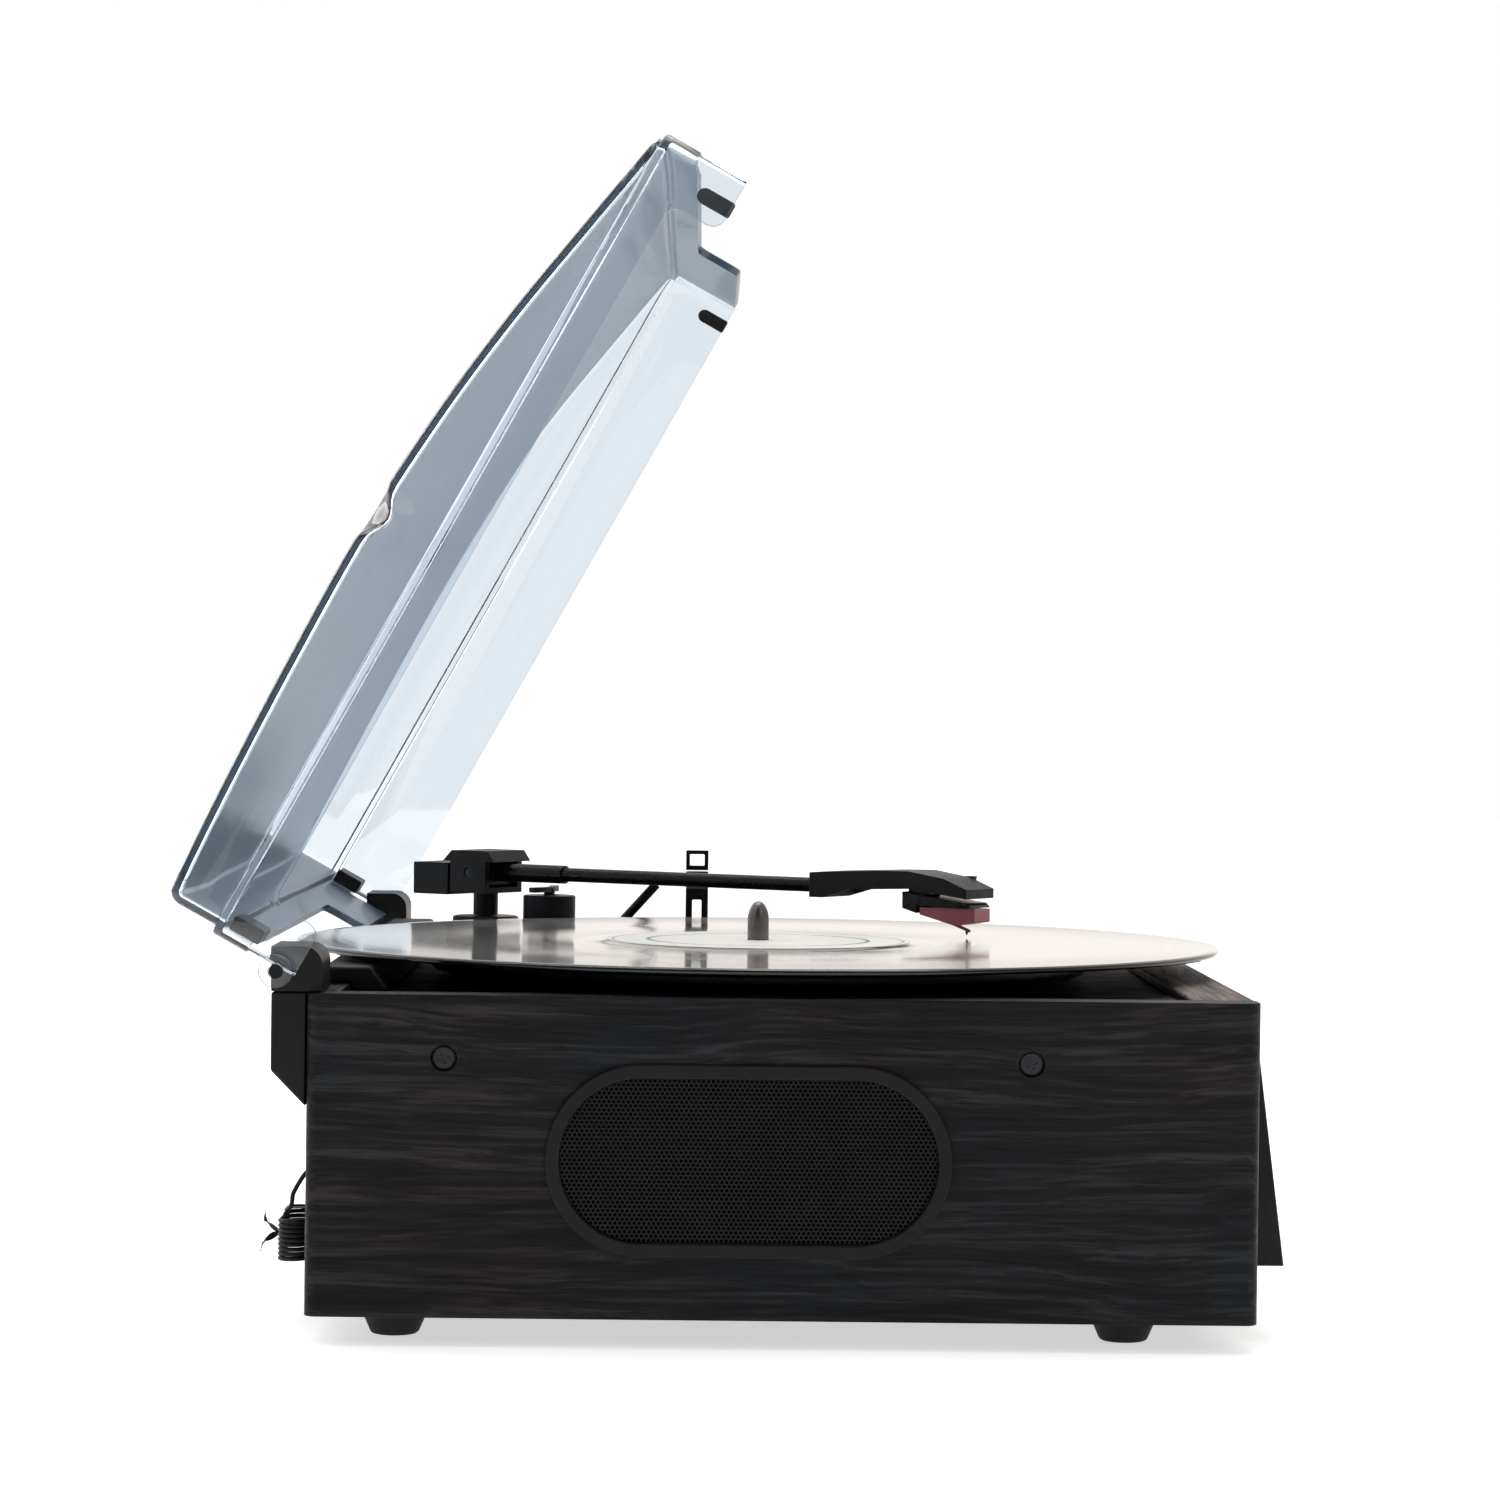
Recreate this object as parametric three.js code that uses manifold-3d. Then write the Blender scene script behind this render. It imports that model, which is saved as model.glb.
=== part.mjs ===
// Turntable record player: a wood-grain box with a speaker in each side, a belt-driven
// platter, a straight tonearm with a cue lift, a sloping control console on the front
// and a clear hinged lid, shown open with the arm over the record.
// Millimetres. +X is the listener's right, -Y the front, +Z up; the feet stand on z = 0.

import * as THREE from 'three';
import { mergeVertices } from 'three/addons/utils/BufferGeometryUtils.js';
import Module from 'manifold-3d';

const wasm = await Module();
wasm.setup();

const DEGREE = Math.PI / 180;

// ---- Driving dimensions ----------------------------------------------------------------

const GAP = 0.3;                    // between pieces that touch or run beside each other
const CUT = 1;                      // how far a cutting tool runs past the face it cuts

// Cabinet
const CABINET_WIDTH = 380;
const CABINET_DEPTH = 280;
const CABINET_HEIGHT = 94.7;
const FOOT_HEIGHT = 8.3;
const FOOT_TOP_RADIUS = 10.5;
const FOOT_BOTTOM_RADIUS = 7;
const FOOT_FROM_SIDE = 26;
const FOOT_FROM_FRONT = 37;
const FOOT_FROM_BACK = 25;
const SIDE_WALL = 12;
const FRONT_WALL = 19;
const BACK_WALL = 9;
const FLOOR_WALL = 6;
const CORNER_RADIUS = 4;
const DECK_THICKNESS = 9;
const DECK_RECESS = 2.5;

// Record, platter and drive
const RECORD_RADIUS = 150.8;
const RECORD_THICKNESS = 1.9;
const RECORD_LABEL_RADIUS = 50;
const RECORD_LABEL_RISE = 0.3;
const SPINDLE_FROM_LEFT = 150;
const SPINDLE_FROM_CENTRE = 6;      // towards the back
const SPINDLE_RADIUS = 3.5;
const SPINDLE_ABOVE_RECORD = 13;
const PLATTER_RADIUS = 107.5;
const PLATTER_THICKNESS = 6;
const PLATTER_RIM_ROUND = 1.5;
const PLATTER_ABOVE_DECK = 1.6;
const MAT_THICKNESS = 1.5;
const MAT_MARGIN = 3;
const HUB_RING_RADIUS = 64;
const HUB_RING_WALL = 5;
const WELL_DEPTH = 4.6;
const BUSH_RADIUS = 7;
const BUSH_LENGTH = 16;
const PULLEY_RADIUS = 6;
const PULLEY_ANGLE = 150;           // seen from above, from +X towards the back
const PULLEY_TO_RING = 6.4;         // from the hub ring to the pulley's rim
const BELT_THICKNESS = 1;
const BELT_HEIGHT = 3;
const MOTOR_RADIUS = 17;
const MOTOR_HEIGHT = 22;
const MOTOR_SHAFT_RADIUS = 1;

// Lid, in its closed place: along is forward from the hinge axis, up is above it
const LID_OPEN_ANGLE = 61;
const HINGE_BEHIND_BACK = 9.1;
const HINGE_ABOVE_TOP = 6.4;
const LID_SETBACK = 19.1;           // cabinet front left uncovered
const LID_WALL = 2.5;
const LID_RIM = -5.5;
const LID_SKIRT_TOP = 22;
const LID_STEP = 2.5;               // the dome stands in from the skirt
const LID_CORNER_RADIUS = 6;
const DOME_BACK_UP = 39;
const DOME_CROWN_ALONG = 124;
const DOME_CROWN_UP = 42.8;
const DOME_BREAK_ALONG = 199;
const DOME_BREAK_UP = 36.3;
const DOME_FRONT_UP = 23.9;
const NOTCH_TOP = 10.5;             // the cut-outs that let a 12-inch record overhang
const EAR_LENGTH = 17;
const TAB_LENGTH = 18;
const NOTCH_END_FROM_SPINDLE = 108;
const BUMPER_RADIUS = 2.4;
const BUMPER_LENGTH = 11;
const BUMPER_FROM_FRONT = 10.8;
const BUMPER_PROUD = 0.5;

// Hinges
const HINGE_WIDTH = 27;
const HINGE_IN_FRONT = 4.3;
const HINGE_BEHIND = 10.6;
const HINGE_TOP = 13.5;
const HINGE_ROUND = 5.5;
const HINGE_PIN_RADIUS = 2;
const HINGE_EYE_RADIUS = 5;
const SOCKET_STRAIGHT = 23;
const SOCKET_TOTAL = 33.5;
const LEAF_INSET = 4;
const LEAF_UP = 8.6;
const LEAF_HEIGHT = 10;
const LEAF_THICKNESS = 5;

// Side speakers
const SPEAKER_LENGTH = 119.6;
const SPEAKER_HEIGHT = 56.7;
const SPEAKER_BEZEL = 4.2;
const SPEAKER_BEZEL_PROUD = 1.6;
const SPEAKER_CENTRE_BACK = 10;
const SPEAKER_CENTRE_UP = 55;
const GRILLE_THICKNESS = 0.8;
const GRILLE_SINK = 0.6;
const DRIVER_RADIUS = 25;
const DRIVER_DEPTH = 24;
const MAGNET_RADIUS = 15;
const CONE_RADIUS = 22;
const SCREW_RECESS_RADIUS = 3.9;
const SCREW_RECESS_DEPTH = 2;
const SCREW_DOWN = 18.5;
const SCREW_FROM_BACK = 40.4;
const SCREW_FROM_FRONT = 67.4;

// Tonearm, laid out from the spindle and the record
const ARM_PIVOT_CLEAR = 31.5;       // pivot outside the record's edge
const ARM_PIVOT_ANGLE = 32.34;      // direction of the pivot from the spindle
const ARM_OVERHANG = 22.7;          // stylus reach beyond the spindle
const ARM_INWARD_ANGLE = 34.7;      // from straight ahead towards the spindle
const ARM_ABOVE_RECORD = 15.5;
const ARM_TUBE_RADIUS = 2.5;
const ARM_COLLAR_RADIUS = 3.3;
const ARM_COLLAR_END = 36;
const PEDESTAL_RADIUS = 12;
const PEDESTAL_FLANGE_RADIUS = 14;
const PEDESTAL_FLANGE_HEIGHT = 3;
const PEDESTAL_ABOVE_RECORD = 0.5;
const POST_RADIUS = 4.5;
const YOKE_OUTER = 11;
const YOKE_CHEEK = 2.6;
const YOKE_HALF_LENGTH = 8;
const YOKE_FLOOR = 2;
const YOKE_DEPTH = 5.5;             // below the tube's centre
const COVER_FRONT = 12;
const COVER_BACK = 11.5;
const COVER_RISE = 4;
const COVER_THICKNESS = 3.9;
const PIVOT_PIN_RADIUS = 1.5;
const WEIGHT_START = 9.5;
const WEIGHT_END = 25.5;
const WEIGHT_TOP = 3.2;             // above the tube's centre
const WEIGHT_BOTTOM = 8.4;          // below the tube's centre
const WEIGHT_HALF_WIDTH = 10.5;
const HEADSHELL_LENGTH = 63;
const HEADSHELL_HALF_WIDTH = 9;
const STYLUS_REST_GAP = 0.3;

// Cue lift, arm rest and deck switches
const LIFT_RADIUS = 9.5;
const LIFT_REACH = 25.2;            // from the arm pivot
const LIFT_ANGLE = 20.9;            // from straight ahead towards the spindle
const LIFT_STEM_RADIUS = 2;
const LIFT_BAR_WIDTH = 3;
const LIFT_BAR_HEIGHT = 1.8;
const LIFT_BAR_INNER_ANGLE = 46;
const LIFT_BAR_OUTER_ANGLE = 12;
const LIFT_BAR_BELOW_TUBE = 1.6;
const CUE_LEVER_FROM_PIVOT = 17;
const CUE_LEVER_AHEAD = 46;
const CUE_LEVER_LENGTH = 24;
const CUE_LEVER_LEAN = 42;
const CUE_LEVER_RADIUS = 1.7;
const CUE_LEVER_ABOVE_DECK = 4;
const PARK_ANGLE = 5.8;             // outward of straight ahead
const REST_AHEAD = 77.5;
const REST_WIDTH = 8.2;
const REST_LEG = 2.4;
const REST_FLOOR_BELOW_TUBE = 5.2;
const REST_FLOOR_THICKNESS = 4.4;
const CLIP_HEIGHT = 7;
const CLIP_WALL = 1.4;
const SWITCH_AHEAD = 130;           // deck switches, ahead of the arm pivot
const SWITCH_SPACING = 34;
const SWITCH_FROM_RIGHT = 22;
const SWITCH_KNOB_LENGTH = 9;
const SWITCH_KNOB_WIDTH = 5;
const SWITCH_KNOB_RISE = 3.4;
const SWITCH_TRAVEL = 5;

// Front console
const CONSOLE_WIDTH = 320;
const CONSOLE_TOP_DOWN = 10.5;
const CONSOLE_BOTTOM_DOWN = 81;
const CONSOLE_TOP_PROUD = 2.6;
const CONSOLE_BOTTOM_PROUD = 11.6;
const CONSOLE_WALL = 2;
const WINDOW_WIDTH = 92;
const WINDOW_HEIGHT = 22;
const WINDOW_UP = 16;               // above the middle of the console's face
const WINDOW_THICKNESS = 1.2;
const BUTTON_COUNT = 4;
const BUTTON_SPACING = 40;
const BUTTON_WIDTH = 22;
const BUTTON_HEIGHT = 6.6;
const BUTTON_PROUD = 1.4;
const BUTTON_DEPTH = 3.2;
const BUTTON_DOWN = 9;              // below the middle of the console's face

// Back and inside
const PLATE_WIDTH = 118;
const PLATE_HEIGHT = 44;
const PLATE_THICKNESS = 2;
const PLATE_FROM_LEFT = 97;
const PLATE_UP = 52;
const PLATE_LIP = 4;
const JACK_RADIUS = 4.4;
const BOARD_LENGTH = 120;
const BOARD_WIDTH = 70;
const BOARD_THICKNESS = 1.6;
const BOARD_UP = 8;
const LEDGE_HEIGHT = 5;
const LEDGE_DEPTH = 12;

// Aerial wire: it leaves the jack plate, drops behind the cabinet and ends in a tied hank
const WIRE_RADIUS = 0.7;
const WIRE_EXIT_ALONG = -35;        // from the jack plate's centre
const WIRE_EXIT_UP = -7;
const HANK_LENGTH = 34.8;
const HANK_WIDTH = 9.8;
const HANK_HEIGHT = 14.2;

// ---- Places worked out from the driving dimensions ---------------------------------------

const left = -CABINET_WIDTH / 2;
const right = CABINET_WIDTH / 2;
const front = -CABINET_DEPTH / 2;
const back = CABINET_DEPTH / 2;
const bottom = FOOT_HEIGHT;
const top = FOOT_HEIGHT + CABINET_HEIGHT;
const deckTop = top - DECK_RECESS;
const deckBottom = deckTop - DECK_THICKNESS;
const platterBottom = deckTop + PLATTER_ABOVE_DECK;
const platterTop = platterBottom + PLATTER_THICKNESS;
const recordBottom = platterTop + MAT_THICKNESS;
const recordTop = recordBottom + RECORD_THICKNESS;
const spindleX = left + SPINDLE_FROM_LEFT;
const spindleY = SPINDLE_FROM_CENTRE;
const hingeY = back + HINGE_BEHIND_BACK;
const hingeZ = top + HINGE_ABOVE_TOP;
const lidLength = CABINET_DEPTH + HINGE_BEHIND_BACK - LID_SETBACK;
const pivotReach = RECORD_RADIUS + ARM_PIVOT_CLEAR;
const pivotX = spindleX + pivotReach * Math.cos(ARM_PIVOT_ANGLE * DEGREE);
const pivotY = spindleY + pivotReach * Math.sin(ARM_PIVOT_ANGLE * DEGREE);
const armLength = pivotReach + ARM_OVERHANG;
const armZ = recordTop + ARM_ABOVE_RECORD;

// ---- Finishes ----------------------------------------------------------------------------

function finish(colour, roughness, metalness) {
  return new THREE.MeshStandardMaterial({ color: colour, roughness, metalness });
}

const blackWood = finish(0x24211f, 0.6, 0);
const blackPlastic = finish(0x17181a, 0.45, 0);
const deckBlack = finish(0x1b1b1d, 0.5, 0);
const rubber = finish(0x121214, 0.85, 0);
const grilleBlack = finish(0x1d1e20, 0.5, 0.6);
const paperCone = finish(0x1a1a1a, 0.9, 0);
const steel = finish(0x9a9ca0, 0.3, 0.9);
const vinyl = finish(0x0c0c0d, 0.15, 0);
const smokyClear = finish(0x8796a5, 0.08, 0);
const redPlastic = finish(0x76161c, 0.4, 0);
const darkGlass = finish(0x10151a, 0.08, 0);
const boardGreen = finish(0x1f5a37, 0.6, 0);
const wireBlack = finish(0x1c1c1e, 0.6, 0);

// ---- Making and joining solids -------------------------------------------------------------

// A closed manifold solid from a closed geometry, turned outside out where needed.
function solidOf(geometry) {
  const bare = new THREE.BufferGeometry();
  bare.setAttribute('position', geometry.getAttribute('position'));
  if (geometry.index) bare.setIndex(geometry.index);
  const merged = mergeVertices(bare, 1e-4);
  const points = merged.getAttribute('position').array;
  const index = merged.index.array;
  const faces = [];
  let volume = 0;
  const corner = [new THREE.Vector3(), new THREE.Vector3(), new THREE.Vector3()];
  for (let at = 0; at < index.length; at += 3) {
    const face = [index[at], index[at + 1], index[at + 2]];
    if (face[0] === face[1] || face[1] === face[2] || face[2] === face[0]) continue;
    face.forEach((vertex, side) => corner[side].fromArray(points, 3 * vertex));
    volume += corner[0].dot(corner[1].clone().cross(corner[2]));
    faces.push(face);
  }
  const outward = volume > 0 ? faces : faces.map(([a, b, c]) => [a, c, b]);
  return new wasm.Manifold(new wasm.Mesh({
    numProp: 3,
    vertProperties: new Float32Array(points),
    triVerts: new Uint32Array(outward.flat()),
  }));
}

function geometryOf(solid) {
  const mesh = solid.getMesh();
  const geometry = new THREE.BufferGeometry();
  geometry.setAttribute('position', new THREE.Float32BufferAttribute(mesh.vertProperties, 3));
  geometry.setIndex(new THREE.BufferAttribute(mesh.triVerts, 1));
  geometry.computeVertexNormals();
  return geometry;
}

// Boxes are given by their low and high corners.
function box(x0, y0, z0, x1, y1, z1) {
  const geometry = new THREE.BoxGeometry(x1 - x0, y1 - y0, z1 - z0);
  geometry.translate((x0 + x1) / 2, (y0 + y1) / 2, (z0 + z1) / 2);
  return solidOf(geometry);
}

// An upright rod between two heights.
function rodZ(x, y, z0, z1, radius, sides = 24, topRadius = radius) {
  const geometry = new THREE.CylinderGeometry(topRadius, radius, z1 - z0, sides);
  geometry.rotateX(Math.PI / 2);
  geometry.translate(x, y, (z0 + z1) / 2);
  return solidOf(geometry);
}

function rodX(x0, x1, y, z, radius, sides = 24) {
  const geometry = new THREE.CylinderGeometry(radius, radius, x1 - x0, sides);
  geometry.rotateZ(Math.PI / 2);
  geometry.translate((x0 + x1) / 2, y, z);
  return solidOf(geometry);
}

function rodY(x, y0, y1, z, radius, sides = 24) {
  const geometry = new THREE.CylinderGeometry(radius, radius, y1 - y0, sides);
  geometry.translate(x, (y0 + y1) / 2, z);
  return solidOf(geometry);
}

// A turned solid about an upright axis, from [radius, height] points that meet the axis.
function turned(profile, x, y, sides = 48) {
  const points = profile.map(([radius, height]) => new THREE.Vector2(radius, height));
  const geometry = new THREE.LatheGeometry(points, sides);
  geometry.rotateX(Math.PI / 2);
  geometry.translate(x, y, 0);
  return solidOf(geometry);
}

function prism(shape, low, high, place, curveSegments) {
  const settings = { depth: high - low, bevelEnabled: false, curveSegments };
  const geometry = new THREE.ExtrudeGeometry(shape, settings);
  geometry.translate(0, 0, low);
  geometry.applyMatrix4(place);
  return solidOf(geometry);
}

const axes = (a, b, c) => new THREE.Matrix4().makeBasis(a, b, c);
const alongX = new THREE.Vector3(1, 0, 0);
const alongY = new THREE.Vector3(0, 1, 0);
const alongZ = new THREE.Vector3(0, 0, 1);

// Outlines in (Y, Z), (X, Z) and (X, Y), pushed along X, Y and Z.
function prismX(shape, x0, x1, curveSegments = 6) {
  return prism(shape, x0, x1, axes(alongY, alongZ, alongX), curveSegments);
}

function prismY(shape, y0, y1, curveSegments = 6) {
  return prism(shape, y0, y1, axes(alongX, alongZ, alongY), curveSegments);
}

function prismZ(shape, z0, z1, curveSegments = 6) {
  return prism(shape, z0, z1, axes(alongX, alongY, alongZ), curveSegments);
}

function polygon(points) {
  return new THREE.Shape(points.map(([a, b]) => new THREE.Vector2(a, b)));
}

function roundedRectangle(centreA, centreB, width, height, radius) {
  const a = centreA - width / 2;
  const b = centreB - height / 2;
  const shape = new THREE.Shape();
  shape.moveTo(a + radius, b);
  shape.lineTo(a + width - radius, b);
  shape.absarc(a + width - radius, b + radius, radius, -Math.PI / 2, 0, false);
  shape.lineTo(a + width, b + height - radius);
  shape.absarc(a + width - radius, b + height - radius, radius, 0, Math.PI / 2, false);
  shape.lineTo(a + radius, b + height);
  shape.absarc(a + radius, b + height - radius, radius, Math.PI / 2, Math.PI, false);
  shape.lineTo(a, b + radius);
  shape.absarc(a + radius, b + radius, radius, Math.PI, 1.5 * Math.PI, false);
  return shape;
}

// A stadium: the flat sides run along the first axis.
function stadium(centreA, centreB, length, height) {
  return roundedRectangle(centreA, centreB, length, height, height / 2 - 0.001);
}

// A stretched belt's outline round two wheels.
function beltOutline(x0, y0, radius0, x1, y1, radius1) {
  const heading = Math.atan2(y1 - y0, x1 - x0);
  const spread = Math.acos((radius0 - radius1) / Math.hypot(x1 - x0, y1 - y0));
  const shape = new THREE.Shape();
  shape.absarc(x0, y0, radius0, heading + spread, heading - spread + 2 * Math.PI, false);
  shape.absarc(x1, y1, radius1, heading - spread, heading + spread, false);
  return shape;
}

const recordPlayer = new THREE.Group();

function add(name, solid, material, parent = recordPlayer) {
  const mesh = new THREE.Mesh(geometryOf(solid), material);
  mesh.name = name;
  parent.add(mesh);
  return mesh;
}

// ---- Cabinet -------------------------------------------------------------------------------

// One side panel, with its outer corners rounded, its speaker opening and its screw recesses.
// sign is -1 for the left panel and +1 for the right one.
function sidePanel(sign) {
  const outline = roundedRectangle(0, 0, CABINET_WIDTH, CABINET_DEPTH, CORNER_RADIUS);
  const outer = sign * CABINET_WIDTH / 2;
  const inner = sign * (CABINET_WIDTH / 2 - SIDE_WALL);
  const low = Math.min(outer, inner) - (sign < 0 ? CUT : 0);
  const high = Math.max(outer, inner) + (sign > 0 ? CUT : 0);
  const slab = box(low, front - CUT, bottom, high, back + CUT, top);
  const opening = stadium(SPEAKER_CENTRE_BACK, SPEAKER_CENTRE_UP,
    SPEAKER_LENGTH - 2 * SPEAKER_BEZEL, SPEAKER_HEIGHT - 2 * SPEAKER_BEZEL);
  let panel = prismZ(outline, bottom, top, 4).intersect(slab);
  panel = panel.subtract(prismX(opening, low - CUT, high + CUT, 8));
  for (const y of [back - SCREW_FROM_BACK, front + SCREW_FROM_FRONT]) {
    const deep = outer - sign * SCREW_RECESS_DEPTH;
    const past = outer + sign * CUT;
    const recess = rodX(Math.min(deep, past), Math.max(deep, past), y,
      top - SCREW_DOWN, SCREW_RECESS_RADIUS, 16);
    panel = panel.subtract(recess);
  }
  return panel;
}

add('left_side_panel', sidePanel(-1), blackWood);
add('right_side_panel', sidePanel(1), blackWood);

const insideLeft = left + SIDE_WALL + GAP;
const insideRight = right - SIDE_WALL - GAP;
const insideFront = front + FRONT_WALL + GAP;
const insideBack = back - BACK_WALL - GAP;

const plateX = left + PLATE_FROM_LEFT;
const plateOpening = box(plateX - PLATE_WIDTH / 2 + PLATE_LIP, back - BACK_WALL - CUT,
  PLATE_UP - PLATE_HEIGHT / 2 + PLATE_LIP, plateX + PLATE_WIDTH / 2 - PLATE_LIP, back + CUT,
  PLATE_UP + PLATE_HEIGHT / 2 - PLATE_LIP);

add('front_board', box(insideLeft, front, bottom, insideRight, front + FRONT_WALL, top),
  blackWood);
add('back_panel',
  box(insideLeft, back - BACK_WALL, bottom, insideRight, back, top).subtract(plateOpening),
  blackWood);
add('bottom_panel',
  box(insideLeft, insideFront, bottom, insideRight, insideBack, bottom + FLOOR_WALL),
  blackWood);

// The deck holds the platter well, the bearing, the motor shaft and the arm pedestal.
const hubRingBottom = deckTop - WELL_DEPTH + GAP + 0.6;
const wellFloor = deckTop - WELL_DEPTH;
const pulleyReach = HUB_RING_RADIUS + PULLEY_TO_RING + PULLEY_RADIUS;
const pulleyX = spindleX + pulleyReach * Math.cos(PULLEY_ANGLE * DEGREE);
const pulleyY = spindleY + pulleyReach * Math.sin(PULLEY_ANGLE * DEGREE);
const wellRadius = pulleyReach + PULLEY_RADIUS + BELT_THICKNESS + 4 * GAP;
const switchX = right - SIDE_WALL - SWITCH_FROM_RIGHT;
const switchY = pivotY - SWITCH_AHEAD;

function switchSlot(y) {
  const length = SWITCH_KNOB_LENGTH + SWITCH_TRAVEL + 2 * GAP;
  return box(switchX - SWITCH_KNOB_WIDTH / 4 - GAP, y - length / 2, deckBottom - CUT,
    switchX + SWITCH_KNOB_WIDTH / 4 + GAP, y + length / 2, deckTop + CUT);
}

const deck = box(insideLeft, insideFront, deckBottom, insideRight, insideBack, deckTop)
  .subtract(rodZ(spindleX, spindleY, wellFloor, deckTop + CUT, wellRadius, 64))
  .subtract(rodZ(spindleX, spindleY, deckBottom - CUT, deckTop, BUSH_RADIUS + GAP, 24))
  .subtract(rodZ(pulleyX, pulleyY, deckBottom - CUT, deckTop, PULLEY_RADIUS, 16))
  .subtract(switchSlot(switchY))
  .subtract(switchSlot(switchY + SWITCH_SPACING));
add('deck_board', deck, deckBlack);

const ledgeBack = back - 0.5;
add('rear_ledge', prismX(polygon([
  [back - BACK_WALL - LEDGE_DEPTH, deckTop + GAP],
  [back - BACK_WALL - GAP, deckTop + GAP],
  [back - BACK_WALL - GAP, top + GAP],
  [ledgeBack, top + GAP],
  [ledgeBack, top + LEDGE_HEIGHT],
  [back - BACK_WALL - LEDGE_DEPTH / 2, top + LEDGE_HEIGHT],
]), insideLeft + HINGE_WIDTH + 6, insideRight - HINGE_WIDTH - 6)
  .subtract(rodZ(pivotX, pivotY, bottom, hingeZ, PEDESTAL_FLANGE_RADIUS + GAP)), deckBlack);

for (const [name, x, y] of [
  ['front_left_foot', left + FOOT_FROM_SIDE, front + FOOT_FROM_FRONT],
  ['front_right_foot', right - FOOT_FROM_SIDE, front + FOOT_FROM_FRONT],
  ['rear_left_foot', left + FOOT_FROM_SIDE, back - FOOT_FROM_BACK],
  ['rear_right_foot', right - FOOT_FROM_SIDE, back - FOOT_FROM_BACK],
]) {
  add(name, rodZ(x, y, 0, bottom - GAP, FOOT_BOTTOM_RADIUS, 20, FOOT_TOP_RADIUS), rubber);
}

// ---- Side speakers ---------------------------------------------------------------------------

// Each speaker has an outer bezel ring, a grille plate in the opening, and a driver with its
// basket and magnet behind. sign is -1 on the left side and +1 on the right one.
function addSpeaker(side, sign) {
  const face = sign * CABINET_WIDTH / 2;
  const span = (a, b) => [Math.min(face + sign * a, face + sign * b),
    Math.max(face + sign * a, face + sign * b)];
  const outline = (inset) => stadium(SPEAKER_CENTRE_BACK, SPEAKER_CENTRE_UP,
    SPEAKER_LENGTH - 2 * inset, SPEAKER_HEIGHT - 2 * inset);
  const ring = prismX(outline(0), ...span(GAP, SPEAKER_BEZEL_PROUD), 8)
    .subtract(prismX(outline(SPEAKER_BEZEL), ...span(-CUT, SPEAKER_BEZEL_PROUD + CUT), 8));
  add(`${side}_speaker_bezel`, ring, blackPlastic);
  const mesh = prismX(outline(SPEAKER_BEZEL + GAP),
    ...span(-GRILLE_SINK - GRILLE_THICKNESS, -GRILLE_SINK), 8);
  add(`${side}_speaker_grille`, mesh, grilleBlack);

  const inner = SIDE_WALL + GAP;
  const driver = new THREE.LatheGeometry([
    [0, inner + 9], [5, inner + 8], [CONE_RADIUS - 4, inner + 1],
    [CONE_RADIUS, inner], [DRIVER_RADIUS + 4, inner], [DRIVER_RADIUS + 4, inner + 2],
    [DRIVER_RADIUS, inner + 3], [MAGNET_RADIUS, inner + 14],
    [MAGNET_RADIUS, inner + DRIVER_DEPTH], [0, inner + DRIVER_DEPTH],
  ].map(([radius, depth]) => new THREE.Vector2(radius, depth)), 28);
  driver.rotateZ(sign * Math.PI / 2);
  driver.translate(face, SPEAKER_CENTRE_BACK, SPEAKER_CENTRE_UP);
  add(`${side}_speaker_driver`, solidOf(driver), paperCone);
}

addSpeaker('left', -1);
addSpeaker('right', 1);

// ---- Platter, record and drive -------------------------------------------------------------

const spindleHole = SPINDLE_RADIUS + GAP;

add('spindle_bearing', rodZ(spindleX, spindleY, deckBottom - BUSH_LENGTH + DECK_THICKNESS,
  wellFloor, BUSH_RADIUS)
  .subtract(rodZ(spindleX, spindleY, 0, top, spindleHole, 20)), steel);

const ring = [HUB_RING_RADIUS - HUB_RING_WALL, HUB_RING_RADIUS];
add('platter', turned([
  [spindleHole, platterBottom], [ring[0], platterBottom], [ring[0], hubRingBottom],
  [ring[1], hubRingBottom], [ring[1], platterBottom],
  [PLATTER_RADIUS - PLATTER_RIM_ROUND, platterBottom],
  [PLATTER_RADIUS, platterBottom + PLATTER_RIM_ROUND],
  [PLATTER_RADIUS, platterTop - PLATTER_RIM_ROUND],
  [PLATTER_RADIUS - PLATTER_RIM_ROUND, platterTop],
  [spindleHole, platterTop], [spindleHole, platterBottom],
], spindleX, spindleY, 64), deckBlack);
add('platter_mat', turned([
  [spindleHole, platterTop + 0.05], [PLATTER_RADIUS - MAT_MARGIN, platterTop + 0.05],
  [PLATTER_RADIUS - MAT_MARGIN, recordBottom - 0.05], [spindleHole, recordBottom - 0.05],
  [spindleHole, platterTop + 0.05],
], spindleX, spindleY, 48), rubber);
add('record', turned([
  [spindleHole, recordBottom], [RECORD_RADIUS - 1, recordBottom],
  [RECORD_RADIUS, (recordBottom + recordTop) / 2], [RECORD_RADIUS - 1, recordTop],
  [RECORD_LABEL_RADIUS + 1, recordTop], [RECORD_LABEL_RADIUS, recordTop + RECORD_LABEL_RISE],
  [spindleHole, recordTop + RECORD_LABEL_RISE], [spindleHole, recordBottom],
], spindleX, spindleY, 80), vinyl);

const spindleTip = recordTop + SPINDLE_ABOVE_RECORD;
const spindleEnd = deckBottom - BUSH_LENGTH + DECK_THICKNESS + 2;
add('spindle', turned([
  [0, spindleEnd], [SPINDLE_RADIUS, spindleEnd], [SPINDLE_RADIUS, spindleTip - 5],
  [SPINDLE_RADIUS - 0.5, spindleTip - 2.6], [SPINDLE_RADIUS - 1.6, spindleTip - 0.8],
  [0, spindleTip],
], spindleX, spindleY, 20), steel);

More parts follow.
